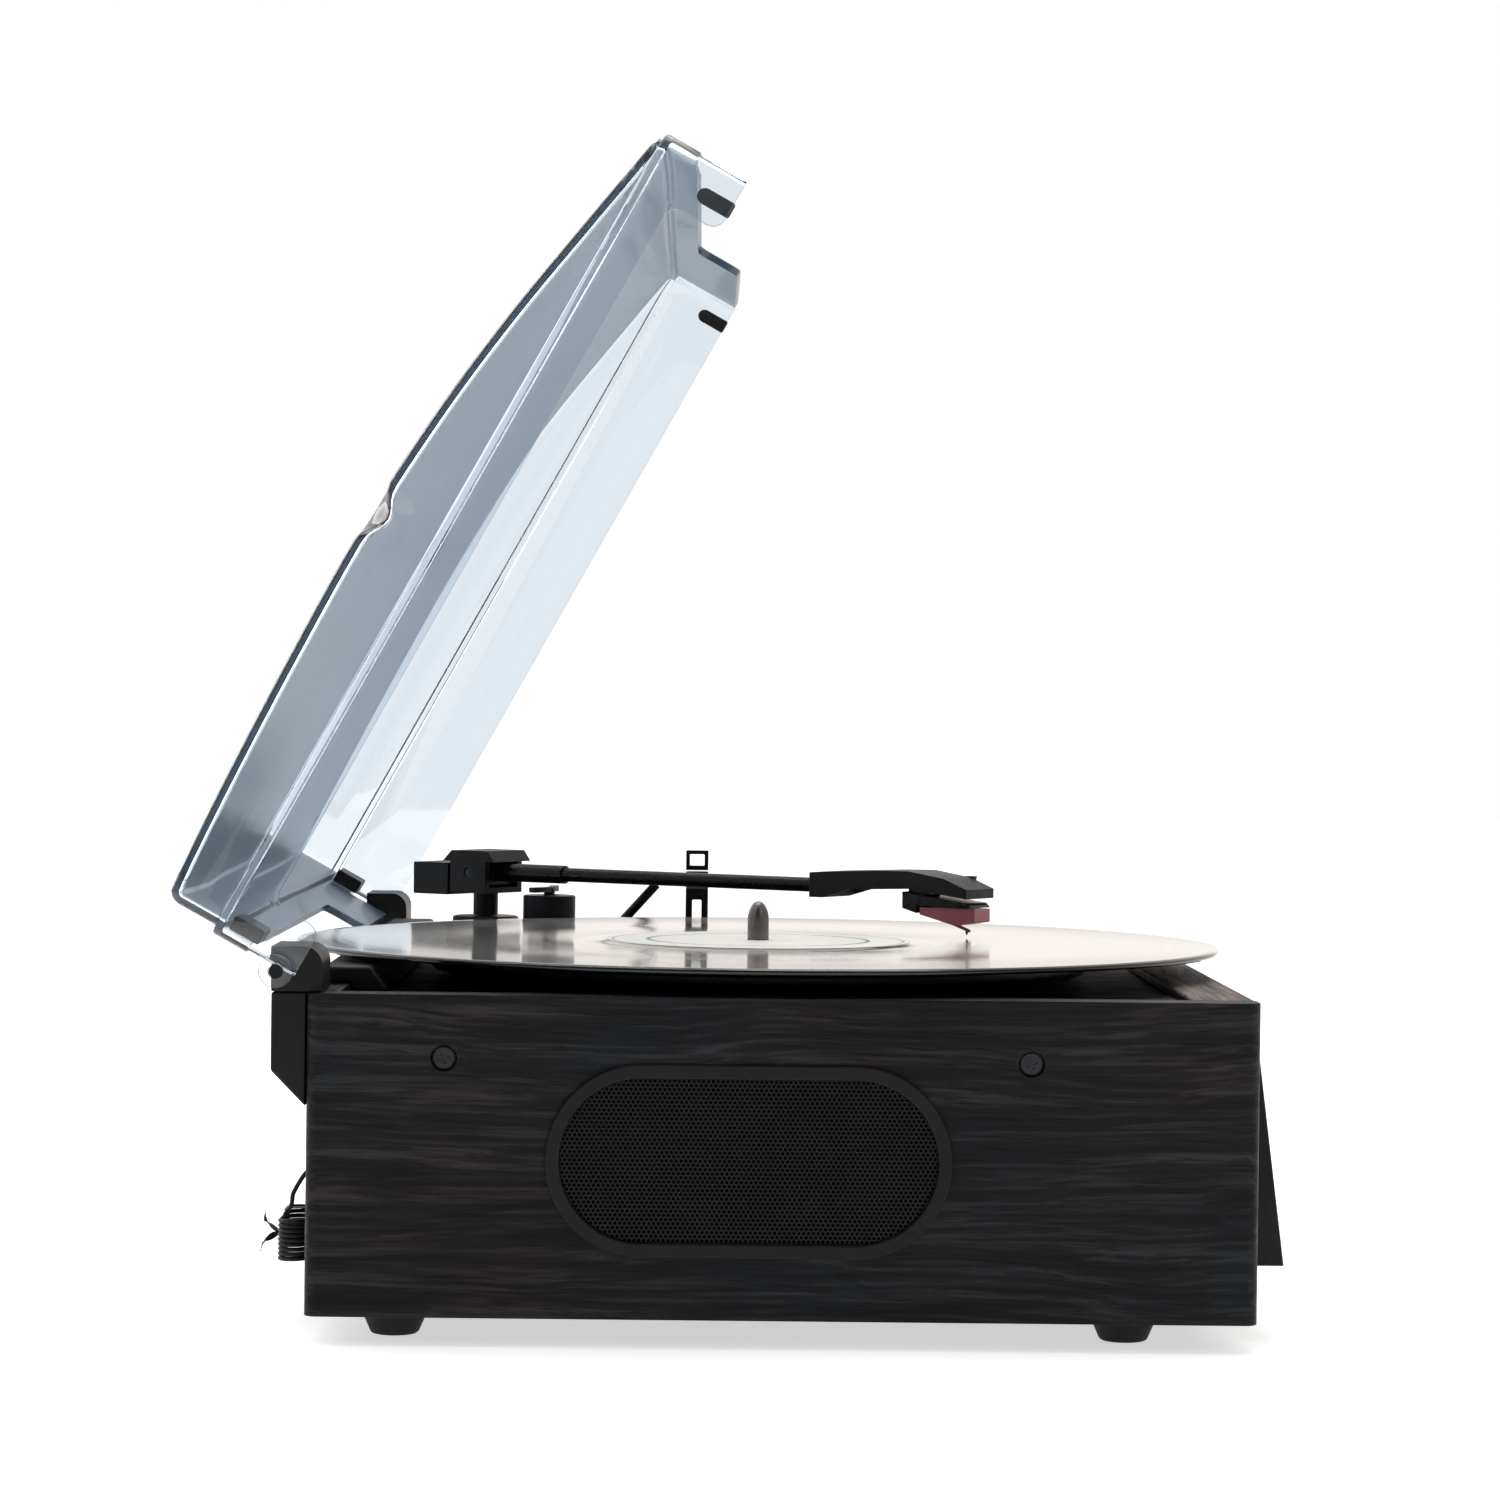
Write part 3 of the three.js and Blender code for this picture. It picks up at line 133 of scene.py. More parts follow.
def lathe(name: str, centre: Point, profile: list[tuple[float, float]], sides: int = 64,
          axis: Point = (0.0, 0.0, 1.0)) -> bpy.types.Object:
    """Turn a profile about an axis into a closed solid.

    Args:
        name: name of the piece.
        centre: point on the axis that heights count from, in millimetres.
        profile: (radius, height) points; a radius of 0 closes an end. A profile whose ends
            both stand off the axis is joined end to end, as for a ring.
        sides: points around.
        axis: direction of the axis.

    Returns:
        The turned piece.
    """
    turn = Vector(axis).to_track_quat("Z", "Y").to_matrix()
    at = Vector(centre)
    ring_starts, points = [], []
    for radius, height in profile:
        ring_starts.append((len(points), radius < 1e-6))
        count = 1 if radius < 1e-6 else sides
        for step in range(count):
            bearing = math.tau * step / sides
            local = Vector((radius * math.cos(bearing), radius * math.sin(bearing), height))
            points.append(tuple(at + turn @ local))
    pairs = list(zip(ring_starts, ring_starts[1:]))
    if not ring_starts[0][1] and not ring_starts[-1][1]:
        pairs.append((ring_starts[-1], ring_starts[0]))
    faces = []
    for (low, low_pole), (high, high_pole) in pairs:
        for step in range(sides):
            after = (step + 1) % sides
            if low_pole and not high_pole:
                faces.append((low, high + step, high + after))
            elif high_pole and not low_pole:
                faces.append((low + step, low + after, high))
            elif not low_pole:
                faces.append((low + step, low + after, high + after, high + step))
    return mesh_piece(name, points, faces)


def softened(node: str, width: float = 0.5, segments: int = 2, name: str = "",
             angle: float = 32.0) -> bpy.types.Object:
    """Copy a CAD node as a piece with small rounded edges, and let it stand for the node.

    Args:
        node: CAD node to copy.
        width: bevel width in millimetres.
        segments: bevel segments.
        name: name of the piece, or the node's name with "_piece".
        angle: edges sharper than this many degrees are rounded.

    Returns:
        The rounded piece.
    """
    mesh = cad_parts[node].data.copy()
    mesh.materials.clear()
    bm = bmesh.new()
    bm.from_mesh(mesh)
    bmesh.ops.remove_doubles(bm, verts=bm.verts, dist=0.004 * MM)
    bmesh.ops.dissolve_limit(bm, angle_limit=math.radians(0.6), verts=bm.verts,
                             edges=bm.edges)
    bm.to_mesh(mesh)
    bm.free()
    piece = link(name or f"{node}_piece", mesh)
    bevel = piece.modifiers.new("edges", "BEVEL")
    bevel.limit_method = "ANGLE"
    bevel.angle_limit = math.radians(angle)
    bevel.width = width * MM
    bevel.segments = segments
    bevel.use_clamp_overlap = True
    shading = piece.modifiers.new("shading", "WEIGHTED_NORMAL")
    shading.mode = "FACE_AREA"
    shading.weight = 50
    for face in mesh.polygons:
        face.use_smooth = True
    settle(piece)
    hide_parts(node)
    return piece


# ---- Finishes ------------------------------------------------------------------------------


class Board:
    """A material's node board, with short ways to add nodes and join them."""

    def __init__(self, name: str) -> None:
        """Start an empty material."""
        self.material = bpy.data.materials.new(name)
        self.material.use_nodes = True
        self.tree = self.material.node_tree
        self.tree.nodes.clear()
        self.output = self.tree.nodes.new("ShaderNodeOutputMaterial")

    def add(self, kind: str, inputs: dict | None = None, **settings) -> bpy.types.Node:
        """Add a node.

        Args:
            kind: node type, without "ShaderNode".
            inputs: socket name or number to a value or to an output socket.
            settings: attributes of the node.

        Returns:
            The node.
        """
        node = self.tree.nodes.new("ShaderNode" + kind)
        for key, value in settings.items():
            setattr(node, key, value)
        for key, value in (inputs or {}).items():
            if isinstance(value, bpy.types.NodeSocket):
                self.tree.links.new(value, node.inputs[key])
            else:
                node.inputs[key].default_value = value
        return node

    def place(self, centre: Point = (0.0, 0.0, 0.0),
              stretch: Point = (1.0, 1.0, 1.0)) -> bpy.types.NodeSocket:
        """Object coordinates, counted from a centre in millimetres and stretched."""
        coordinates = self.add("TexCoord").outputs["Object"]
        shifted = self.add("VectorMath", {0: coordinates, 1: [c * MM for c in centre]},
                           operation="SUBTRACT").outputs[0]
        return self.add("VectorMath", {0: shifted, 1: stretch},
                        operation="MULTIPLY").outputs[0]

    def math(self, operation: str, first, second=0.0, third=0.0) -> bpy.types.NodeSocket:
        """One arithmetic step."""
        return self.add("Math", {0: first, 1: second, 2: third},
                        operation=operation).outputs[0]

    def noise(self, vector: bpy.types.NodeSocket, scale: float, detail: float = 4.0,
              rough: float = 0.55, warp: float = 0.0) -> bpy.types.NodeSocket:
        """Noise value at a place."""
        return self.add("TexNoise", {"Vector": vector, "Scale": scale, "Detail": detail,
                                     "Roughness": rough, "Distortion": warp}).outputs[0]

    def ramp(self, value, stops: list[tuple[float, Colour]]) -> bpy.types.NodeSocket:
        """Colour from a value through a list of stops."""
        node = self.add("ValToRGB", {0: value})
        elements = node.color_ramp.elements
        while len(elements) < len(stops):
            elements.new(0.5)
        for element, (where, colour) in zip(elements, stops):
            element.position = where
            element.color = (*colour, 1.0)
        return node.outputs[0]

    def remap(self, value, low: float, high: float, to_low: float,
              to_high: float) -> bpy.types.NodeSocket:
        """A value moved from one range to another, clamped."""
        return self.add("MapRange", {0: value, 1: low, 2: high, 3: to_low,
                                     4: to_high}).outputs[0]

    def bump(self, height, strength: float, depth: float) -> bpy.types.NodeSocket:
        """A normal from a height, with the depth in millimetres."""
        return self.add("Bump", {"Height": height, "Strength": strength,
                                 "Distance": depth * MM}).outputs[0]

    def surface(self, shader: bpy.types.NodeSocket) -> bpy.types.Material:
        """Set the finished shader, and give back the material."""
        self.tree.links.new(shader, self.output.inputs["Surface"])
        return self.material


class GrainWay(Enum):
    """Direction that wood grain runs in."""

    DEPTH = "Y"
    WIDTH = "X"


@dataclass(frozen=True)
class Finish:
    """A named finish that makes its material once."""

    name: str
    slot: str

    def make(self) -> bpy.types.Material:
        """Build the material."""
        raise NotImplementedError

    def material(self) -> bpy.types.Material:
        """The finish's material, built the first time it is asked for."""
        return bpy.data.materials.get(self.name) or self.make()


@dataclass(frozen=True)
class BlackWood(Finish):
    """Black-stained open-pored veneer."""

    way: GrainWay = GrainWay.DEPTH
    dark: Colour = (0.0022, 0.0023, 0.0032)
    middle: Colour = (0.0060, 0.0061, 0.0078)
    light: Colour = (0.0250, 0.0225, 0.0240)

    def make(self) -> bpy.types.Material:
        """Build the veneer: wandering grain lines, pores and slow shade changes."""
        board = Board(self.name)
        along = 1 if self.way is GrainWay.DEPTH else 0
        slow = [26.0, 26.0, 26.0]
        slow[along] = 7.0
        where = board.place()
        wander = board.noise(board.place(stretch=tuple(slow)), 1.0, 2.0, 0.5)
        lift = board.math("MULTIPLY", board.math("SUBTRACT", wander, 0.5), 0.016)
        parts = board.add("SeparateXYZ", {0: where}).outputs
        moved = board.math("ADD", parts[2], lift)
        across = board.math("ADD", parts[1 - along], lift)
        line = [parts[0], parts[1], moved]
        line[1 - along] = across
        place = board.add("CombineXYZ", {0: line[0], 1: line[1], 2: line[2]}).outputs[0]

        def grain(fine: float, coarse: float, detail: float,
                  roughness: float) -> bpy.types.NodeSocket:
            """Noise drawn out along the grain.

            Args:
                fine: scale across the grain.
                coarse: scale along it.
                detail: octaves of noise.
                roughness: strength of the finer octaves.

            Returns:
                The noise value.
            """
            stretch = [fine, fine, fine]
            stretch[along] = coarse
            drawn = board.add("VectorMath", {0: place, 1: stretch}, operation="MULTIPLY")
            return board.noise(drawn.outputs[0], 1.0, detail, roughness)

        fibre = grain(620.0, 16.0, 4.0, 0.6)
        band = grain(190.0, 9.0, 3.0, 0.55)
        pore = board.remap(grain(900.0, 70.0, 2.0, 0.5), 0.56, 0.68, 0.0, 1.0)
        mix = board.math("ADD", board.math("MULTIPLY", fibre, 0.55),
                         board.math("MULTIPLY", band, 0.45))
        tone = board.ramp(mix, [(0.40, self.dark), (0.50, self.middle), (0.62, self.light)])
        tint = board.ramp(board.noise(where, 9.0, 2.0), [
            (0.38, (0.70, 1.02, 1.12)), (0.62, (1.25, 0.95, 0.86))])
        stained = board.add("Mix", {6: tone, 7: tint, 0: 1.0}, data_type="RGBA",
                            blend_type="MULTIPLY").outputs[2]
        pored = board.add("Mix", {6: stained, 7: (0.003, 0.003, 0.003, 1.0),
                                  0: board.math("MULTIPLY", pore, 0.75)},
                          data_type="RGBA").outputs[2]
        height = board.math("SUBTRACT", mix, board.math("MULTIPLY", pore, 0.6))
        shader = board.add("BsdfPrincipled", {
            "Base Color": pored,
            "Roughness": board.remap(mix, 0.3, 0.7, 0.62, 0.42),
            "Specular IOR Level": 0.16,
            "Normal": board.bump(height, 0.55, 0.16)})
        return board.surface(shader.outputs[0])


@dataclass(frozen=True)
class Moulded(Finish):
    """Moulded plastic or rubber with a fine spark-eroded texture."""

    colour: Colour = (0.0048, 0.0049, 0.0058)
    roughness: float = 0.42
    grain: float = 1400.0
    depth: float = 0.03
    shade: float = 0.25
    shine: float = 0.2

    def make(self) -> bpy.types.Material:
        """Build the moulded surface with handling wear in its gloss."""
        board = Board(self.name)
        where = board.place()
        cloud = board.noise(where, 38.0, 3.0)
        grain = board.noise(where, self.grain, 2.0, 0.6)
        deep = tuple(c * (1 - self.shade) for c in self.colour)
        bright = tuple(c * (1 + self.shade) for c in self.colour)
        tone = board.ramp(cloud, [(0.3, deep), (0.7, bright)])
        shader = board.add("BsdfPrincipled", {
            "Base Color": tone,
            "Roughness": board.remap(board.noise(where, 90.0, 4.0), 0.3, 0.7,
                                     self.roughness - 0.07, self.roughness + 0.09),
            "Specular IOR Level": self.shine,
            "Normal": board.bump(grain, 0.5, self.depth)})
        return board.surface(shader.outputs[0])


@dataclass(frozen=True)
class Metal(Finish):
    """Turned or plated metal."""

    colour: Colour = (0.62, 0.61, 0.58)
    roughness: float = 0.24
    scratch: float = 900.0

    def make(self) -> bpy.types.Material:
        """Build the metal with fine turning marks."""
        board = Board(self.name)
        marks = board.noise(board.place(stretch=(0.25, 0.25, 3.0)), self.scratch, 3.0, 0.6)
        tone = board.ramp(board.noise(board.place(), 60.0), [
            (0.3, tuple(c * 0.86 for c in self.colour)), (0.7, self.colour)])
        shader = board.add("BsdfPrincipled", {
            "Base Color": tone, "Metallic": 1.0,
            "Roughness": board.remap(marks, 0.3, 0.7, self.roughness * 0.7,
                                     self.roughness * 1.4),
            "Normal": board.bump(marks, 0.25, 0.01)})
        return board.surface(shader.outputs[0])


@dataclass(frozen=True)
class SmokedClear(Finish):
    """Clear blue-grey acrylic with a dark blue-grey film mixed in where it is met at a low
    angle: partly its tint over a longer path, partly painted dark reflection.
    """

    tint: Colour = (0.76, 0.825, 0.88)
    edge_tint_and_painted_shade: Colour = (0.080, 0.128, 0.188)
    edge_painted_shade_share: float = 0.93

    def make(self) -> bpy.types.Material:
        """Build the clear wall with the painted dark edge film and faint rubbing marks."""
        board = Board(self.name)
        rub = board.noise(board.place(stretch=(1.0, 0.35, 0.35)), 60.0, 5.0, 0.65)
        clear = board.add("BsdfPrincipled", {
            "Base Color": (*self.tint, 1.0), "Transmission Weight": 1.0, "IOR": 1.49,
            "Roughness": board.remap(rub, 0.35, 0.75, 0.012, 0.05)})
        # Dark blue-grey film for low angles: painted dark reflection, partly the tint over a
        # longer path.
        edge_shade_film = board.add("BsdfPrincipled", {
            "Base Color": board.ramp(rub, [
                (0.3, tuple(c * 0.9 for c in self.edge_tint_and_painted_shade)),
                (0.7, tuple(c * 1.12 for c in self.edge_tint_and_painted_shade))]),
            "Roughness": 0.3, "Specular IOR Level": 0.2})
        # The film's share grows as the wall is met more edge-on: painted edge shade.
        facing = board.add("LayerWeight", {"Blend": 0.5}).outputs["Facing"]
        share = board.remap(facing, 0.68, 0.90, 0.0, self.edge_painted_shade_share)
        mixed = board.add("MixShader", {0: share, 1: clear.outputs[0], 2: edge_shade_film.outputs[0]})
        return board.surface(mixed.outputs[0])


@dataclass(frozen=True)
class Vinyl(Finish):
    """Pressed record: grooves, track bands and a soft sheen."""

    centre: Point = (-40.0, -8.2294, 0.0)
    groove: float = 0.62
    sheen: Colour = (0.93, 0.89, 0.86)

    def make(self) -> bpy.types.Material:
        """Build the grooves from the distance to the spindle."""
        board = Board(self.name)
        flat = board.place(self.centre, (1.0, 1.0, 0.0))
        radius = board.add("VectorMath", {0: flat}, operation="LENGTH").outputs[1]
        wave = board.math("SINE", board.math("MULTIPLY", radius,
                                             math.tau / (self.groove * MM)))
        around = board.add("CombineXYZ", {0: board.math("MULTIPLY", radius, 420.0)}).outputs[0]
        loud = board.noise(around, 1.0, 3.0, 0.7)
        height = board.math("MULTIPLY", wave, board.remap(loud, 0.35, 0.65, 0.2, 1.0))
        facing = board.add("LayerWeight", {"Blend": 0.5}).outputs["Facing"]
        skim = board.remap(facing, 0.84, 0.935, 0.0, 0.86)
        tone = board.ramp(loud, [(0.3, (0.004, 0.004, 0.0045)), (0.7, (0.010, 0.0095, 0.010))])
        warm = board.add("Mix", {0: skim, 6: tone, 7: (*self.sheen, 1.0)},
                         data_type="RGBA").outputs[2]
        shader = board.add("BsdfPrincipled", {
            "Base Color": warm, "Metallic": skim,
            "Roughness": board.remap(loud, 0.3, 0.7, 0.07, 0.15),
            "Specular IOR Level": 0.35, "Coat Weight": 0.1, "Coat Roughness": 0.05,
            "Normal": board.bump(height, 0.22, 0.012)})
        return board.surface(shader.outputs[0])


@dataclass(frozen=True)
class PaperLabel(Finish):
    """Plain record label with two printed rings."""

    centre: Point = (-40.0, -8.2294, 0.0)

    def make(self) -> bpy.types.Material:
        """Build the paper and its rings."""
        board = Board(self.name)
        flat = board.place(self.centre, (1.0, 1.0, 0.0))
        radius = board.add("VectorMath", {0: flat}, operation="LENGTH").outputs[1]
        fibre = board.noise(board.place(), 900.0, 4.0)
        rings = board.ramp(board.math("MULTIPLY", radius, 20.0), [
            (0.0, (0.78, 0.76, 0.71)), (0.70, (0.78, 0.76, 0.71)), (0.715, (0.16, 0.20, 0.24)),
            (0.73, (0.16, 0.20, 0.24)), (0.745, (0.80, 0.78, 0.73)), (0.94, (0.80, 0.78, 0.73)),
            (0.955, (0.30, 0.33, 0.36)), (0.97, (0.80, 0.78, 0.73))])
        shader = board.add("BsdfPrincipled", {
            "Base Color": rings, "Roughness": board.remap(fibre, 0.3, 0.7, 0.42, 0.6),
            "Normal": board.bump(fibre, 0.2, 0.02)})
        return board.surface(shader.outputs[0])


@dataclass(frozen=True)
class DarkGlass(Finish):
    """Smoked display window."""

    def make(self) -> bpy.types.Material:
        """Build the window."""
        board = Board(self.name)
        smear = board.noise(board.place(), 45.0, 4.0)
        shader = board.add("BsdfPrincipled", {
            "Base Color": board.ramp(smear, [(0.3, (0.004, 0.005, 0.006)),
                                             (0.7, (0.011, 0.012, 0.014))]),
            "Roughness": board.remap(smear, 0.35, 0.7, 0.04, 0.13),
            "Coat Weight": 0.15, "Coat Roughness": 0.03, "Specular IOR Level": 0.3})
        return board.surface(shader.outputs[0])


@dataclass(frozen=True)
class CircuitGreen(Finish):
    """Solder-masked board with track-like bands."""

    def make(self) -> bpy.types.Material:
        """Build the board."""
        board = Board(self.name)
        cells = board.add("TexVoronoi", {"Vector": board.place(), "Scale": 260.0},
                          distance="MANHATTAN").outputs[0]
        tracks = board.remap(cells, 0.28, 0.34, 0.0, 1.0)
        shader = board.add("BsdfPrincipled", {
            "Base Color": board.ramp(tracks, [(0.2, (0.012, 0.075, 0.030)),
                                              (0.8, (0.020, 0.130, 0.050))]),
            "Roughness": board.remap(board.noise(board.place(), 300.0), 0.3, 0.7, 0.3, 0.45),
            "Normal": board.bump(tracks, 0.3, 0.04)})
        return board.surface(shader.outputs[0])


WOOD_SIDE = BlackWood("black_wood_side", "wood", GrainWay.DEPTH)
WOOD_FRONT = BlackWood("black_wood_front", "wood", GrainWay.WIDTH)
# Lighter copy of the veneer for faces that point up: painted top light.
WOOD_TOP_PAINTED_LIGHT = BlackWood("painted_light_wood_top", "wood", GrainWay.WIDTH, (0.016, 0.014, 0.013),
                     (0.060, 0.050, 0.044), (0.150, 0.126, 0.110))
DECK_BLACK = Moulded("deck_black", "deck", (0.008, 0.008, 0.009), 0.5, 700.0, 0.06)
BLACK_PLASTIC = Moulded("black_plastic_matt", "black_plastic")
GLOSS_PLASTIC = Moulded("black_plastic_smooth", "black_plastic", (0.006, 0.006, 0.007),
                        0.26, 500.0, 0.008)
RUBBER = Moulded("rubber_black", "rubber", (0.010, 0.010, 0.010), 0.66, 900.0, 0.05, 0.3, 0.25)
GRILLE_BLACK = Moulded("grille_enamel", "grille", (0.003, 0.003, 0.0035), 0.38, 800.0, 0.01)
PAPER_CONE = Moulded("driver_cone", "driver", (0.012, 0.011, 0.011), 0.8, 600.0, 0.12, 0.35,
                     0.2)
STEEL = Metal("plated_steel", "steel")
DARK_STEEL = Metal("blackened_steel", "steel", (0.035, 0.035, 0.038), 0.30)
DULL_STEEL = Metal("dull_steel", "steel", (0.17, 0.155, 0.145), 0.34)
VINYL = Vinyl("pressed_vinyl", "vinyl")
LABEL = PaperLabel("label_paper", "vinyl")
CLEAR_LID = SmokedClear("smoked_acrylic", "clear_lid")
STYLUS_RED = Moulded("stylus_red", "stylus_red", (0.19, 0.003, 0.005), 0.46, 500.0, 0.01, 0.15,
                    0.08)
WINDOW = DarkGlass("display_glass", "window")
CIRCUIT = CircuitGreen("circuit_green", "board")
WIRE = Moulded("wire_jacket", "wire", (0.016, 0.016, 0.017), 0.45, 500.0, 0.01)
JACK_WHITE = Moulded("jack_white", "black_plastic", (0.62, 0.61, 0.58), 0.38, 500.0, 0.01, 0.1)
JACK_RED = Moulded("jack_red", "black_plastic", (0.36, 0.012, 0.014), 0.38, 500.0, 0.01, 0.1)


def dress(piece: bpy.types.Object, body: str, finish: Finish,
          *more: Finish) -> bpy.types.Object:
    """Give a piece its finish and its body, and report it.

    Args:
        piece: the piece.
        body: CAD body that it moves with.
        finish: its first finish.
        more: further finishes, for faces with a higher material number.

    Returns:
        The same piece.
    """
    piece.data.materials.clear()
    for each in (finish, *more):
        piece.data.materials.append(each.material())
    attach(piece, body)
    LOG.info("%s on %s in %s", piece.name, body, finish.name)
    return piece


def dress_node(node: str, finish: Finish) -> None:
    """Give a CAD node that keeps its own shape a better material."""
    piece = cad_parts[node]
    piece.data.materials.clear()
    piece.data.materials.append(finish.material())
    LOG.info("%s keeps its shape in %s", node, finish.name)


# ---- Camera, floor and light ---------------------------------------------------------------


@dataclass
class Studio:
    """Pale floor, soft light and the camera square on the left side."""

    camera_at: Point = (-1407.0, 10.8, 188.0)
    lens: float = 99.87
    sensor: float = 36.0
    yaw: float = 0.656
    pitch: float = 0.582
    roll: float = 0.679

    def camera(self) -> None:
        """Make the camera."""
        data = bpy.data.cameras.new("side_camera")
        data.lens = self.lens
        data.sensor_width = self.sensor
        data.clip_end = 50.0
        camera = bpy.data.objects.new("side_camera", data)
        bpy.context.scene.collection.objects.link(camera)
        yaw, pitch = math.radians(self.yaw), math.radians(self.pitch)
        ahead = Vector((math.cos(yaw) * math.cos(pitch), -math.sin(yaw) * math.cos(pitch),
                        -math.sin(pitch)))
        right = ahead.cross(Vector((0, 0, 1))).normalized()
        turn = Matrix.Rotation(math.radians(-self.roll), 3, ahead)
        right = turn @ right
        up = right.cross(ahead)
        pose = Matrix((right, up, -ahead)).transposed().to_4x4()
        pose.translation = Vector(self.camera_at) * MM
        camera.matrix_world = pose
        bpy.context.scene.camera = camera

    def floor(self) -> None:
        """Make the pale floor."""
        size = 6000.0
        floor = mesh_piece("studio_floor", [(-size, -size, -0.2), (size, -size, -0.2),
                                            (size, size, -0.2), (-size, size, -0.2)],
                           [(0, 1, 2, 3)], smooth=False)
        board = Board("studio_floor_white")
        shader = board.add("BsdfPrincipled", {
            "Base Color": (0.9, 0.9, 0.9, 1.0), "Roughness": 0.75, "Specular IOR Level": 0.1,
            "Emission Color": (1.0, 1.0, 1.0, 1.0), "Emission Strength": 0.6})
        floor.data.materials.append(board.surface(shader.outputs[0]))

    def world(self) -> None:
        """Make the surround: white behind, dimmer towards the front of the room."""
        world = bpy.data.worlds.new("studio_surround")
        bpy.context.scene.world = world
        world.use_nodes = True
        tree = world.node_tree
        tree.nodes.clear()
        output = tree.nodes.new("ShaderNodeOutputWorld")
        mix = tree.nodes.new("ShaderNodeMixShader")
        white = tree.nodes.new("ShaderNodeBackground")
        white.inputs[0].default_value = (1.0, 1.0, 1.0, 1.0)
        white.inputs[1].default_value = 1.0
        room = tree.nodes.new("ShaderNodeBackground")
        room.inputs[1].default_value = 1.0
        place = tree.nodes.new("ShaderNodeTexCoord")
        parts = tree.nodes.new("ShaderNodeSeparateXYZ")
        ramp = tree.nodes.new("ShaderNodeValToRGB")
        shift = tree.nodes.new("ShaderNodeMath")
        shift.operation = "MULTIPLY_ADD"
        shift.inputs[1].default_value = 0.5
        shift.inputs[2].default_value = 0.5
        elements = ramp.color_ramp.elements
        elements[0].position, elements[0].color = 0.10, (0.10, 0.105, 0.115, 1.0)
        elements[1].position, elements[1].color = 0.75, (1.0, 0.955, 0.91, 1.0)
        path = tree.nodes.new("ShaderNodeLightPath")
        seen = tree.nodes.new("ShaderNodeMath")
        seen.operation = "MAXIMUM"
        tree.links.new(place.outputs["Generated"], parts.inputs[0])
        tree.links.new(parts.outputs[0], shift.inputs[0])
        tree.links.new(shift.outputs[0], ramp.inputs[0])
        tree.links.new(ramp.outputs[0], room.inputs[0])
        tree.links.new(path.outputs["Is Camera Ray"], seen.inputs[0])
        tree.links.new(path.outputs["Is Transmission Ray"], seen.inputs[1])
        tree.links.new(seen.outputs[0], mix.inputs[0])
        tree.links.new(room.outputs[0], mix.inputs[1])
        tree.links.new(white.outputs[0], mix.inputs[2])
        tree.links.new(mix.outputs[0], output.inputs[0])

    def lamps(self) -> None:
        """Make the soft lamps."""
        for name, at, size, power in (
            ("top_softbox", (0.25, 0.1, 1.5), 1.3, 16.0),
            ("fill_softbox", (-1.2, -0.9, 0.9), 0.9, 2.2),
            ("back_softbox", (0.9, 1.2, 0.8), 0.9, 7.0),
        ):
            data = bpy.data.lights.new(name, "AREA")
            data.shape = "SQUARE"
            data.size = size
            data.energy = power
            lamp = bpy.data.objects.new(name, data)
            bpy.context.scene.collection.objects.link(lamp)
            lamp.location = at
            aim = Vector((0.0, 0.0, 0.12)) - Vector(at)
            lamp.rotation_euler = aim.to_track_quat("-Z", "Y").to_euler()

    def build(self) -> None:
        """Make everything around the record player."""
        self.camera()
        self.floor()
        self.world()
        self.lamps()
        bpy.context.scene.view_settings.view_transform = "Standard"


# ---- Aerial wire ---------------------------------------------------------------------------


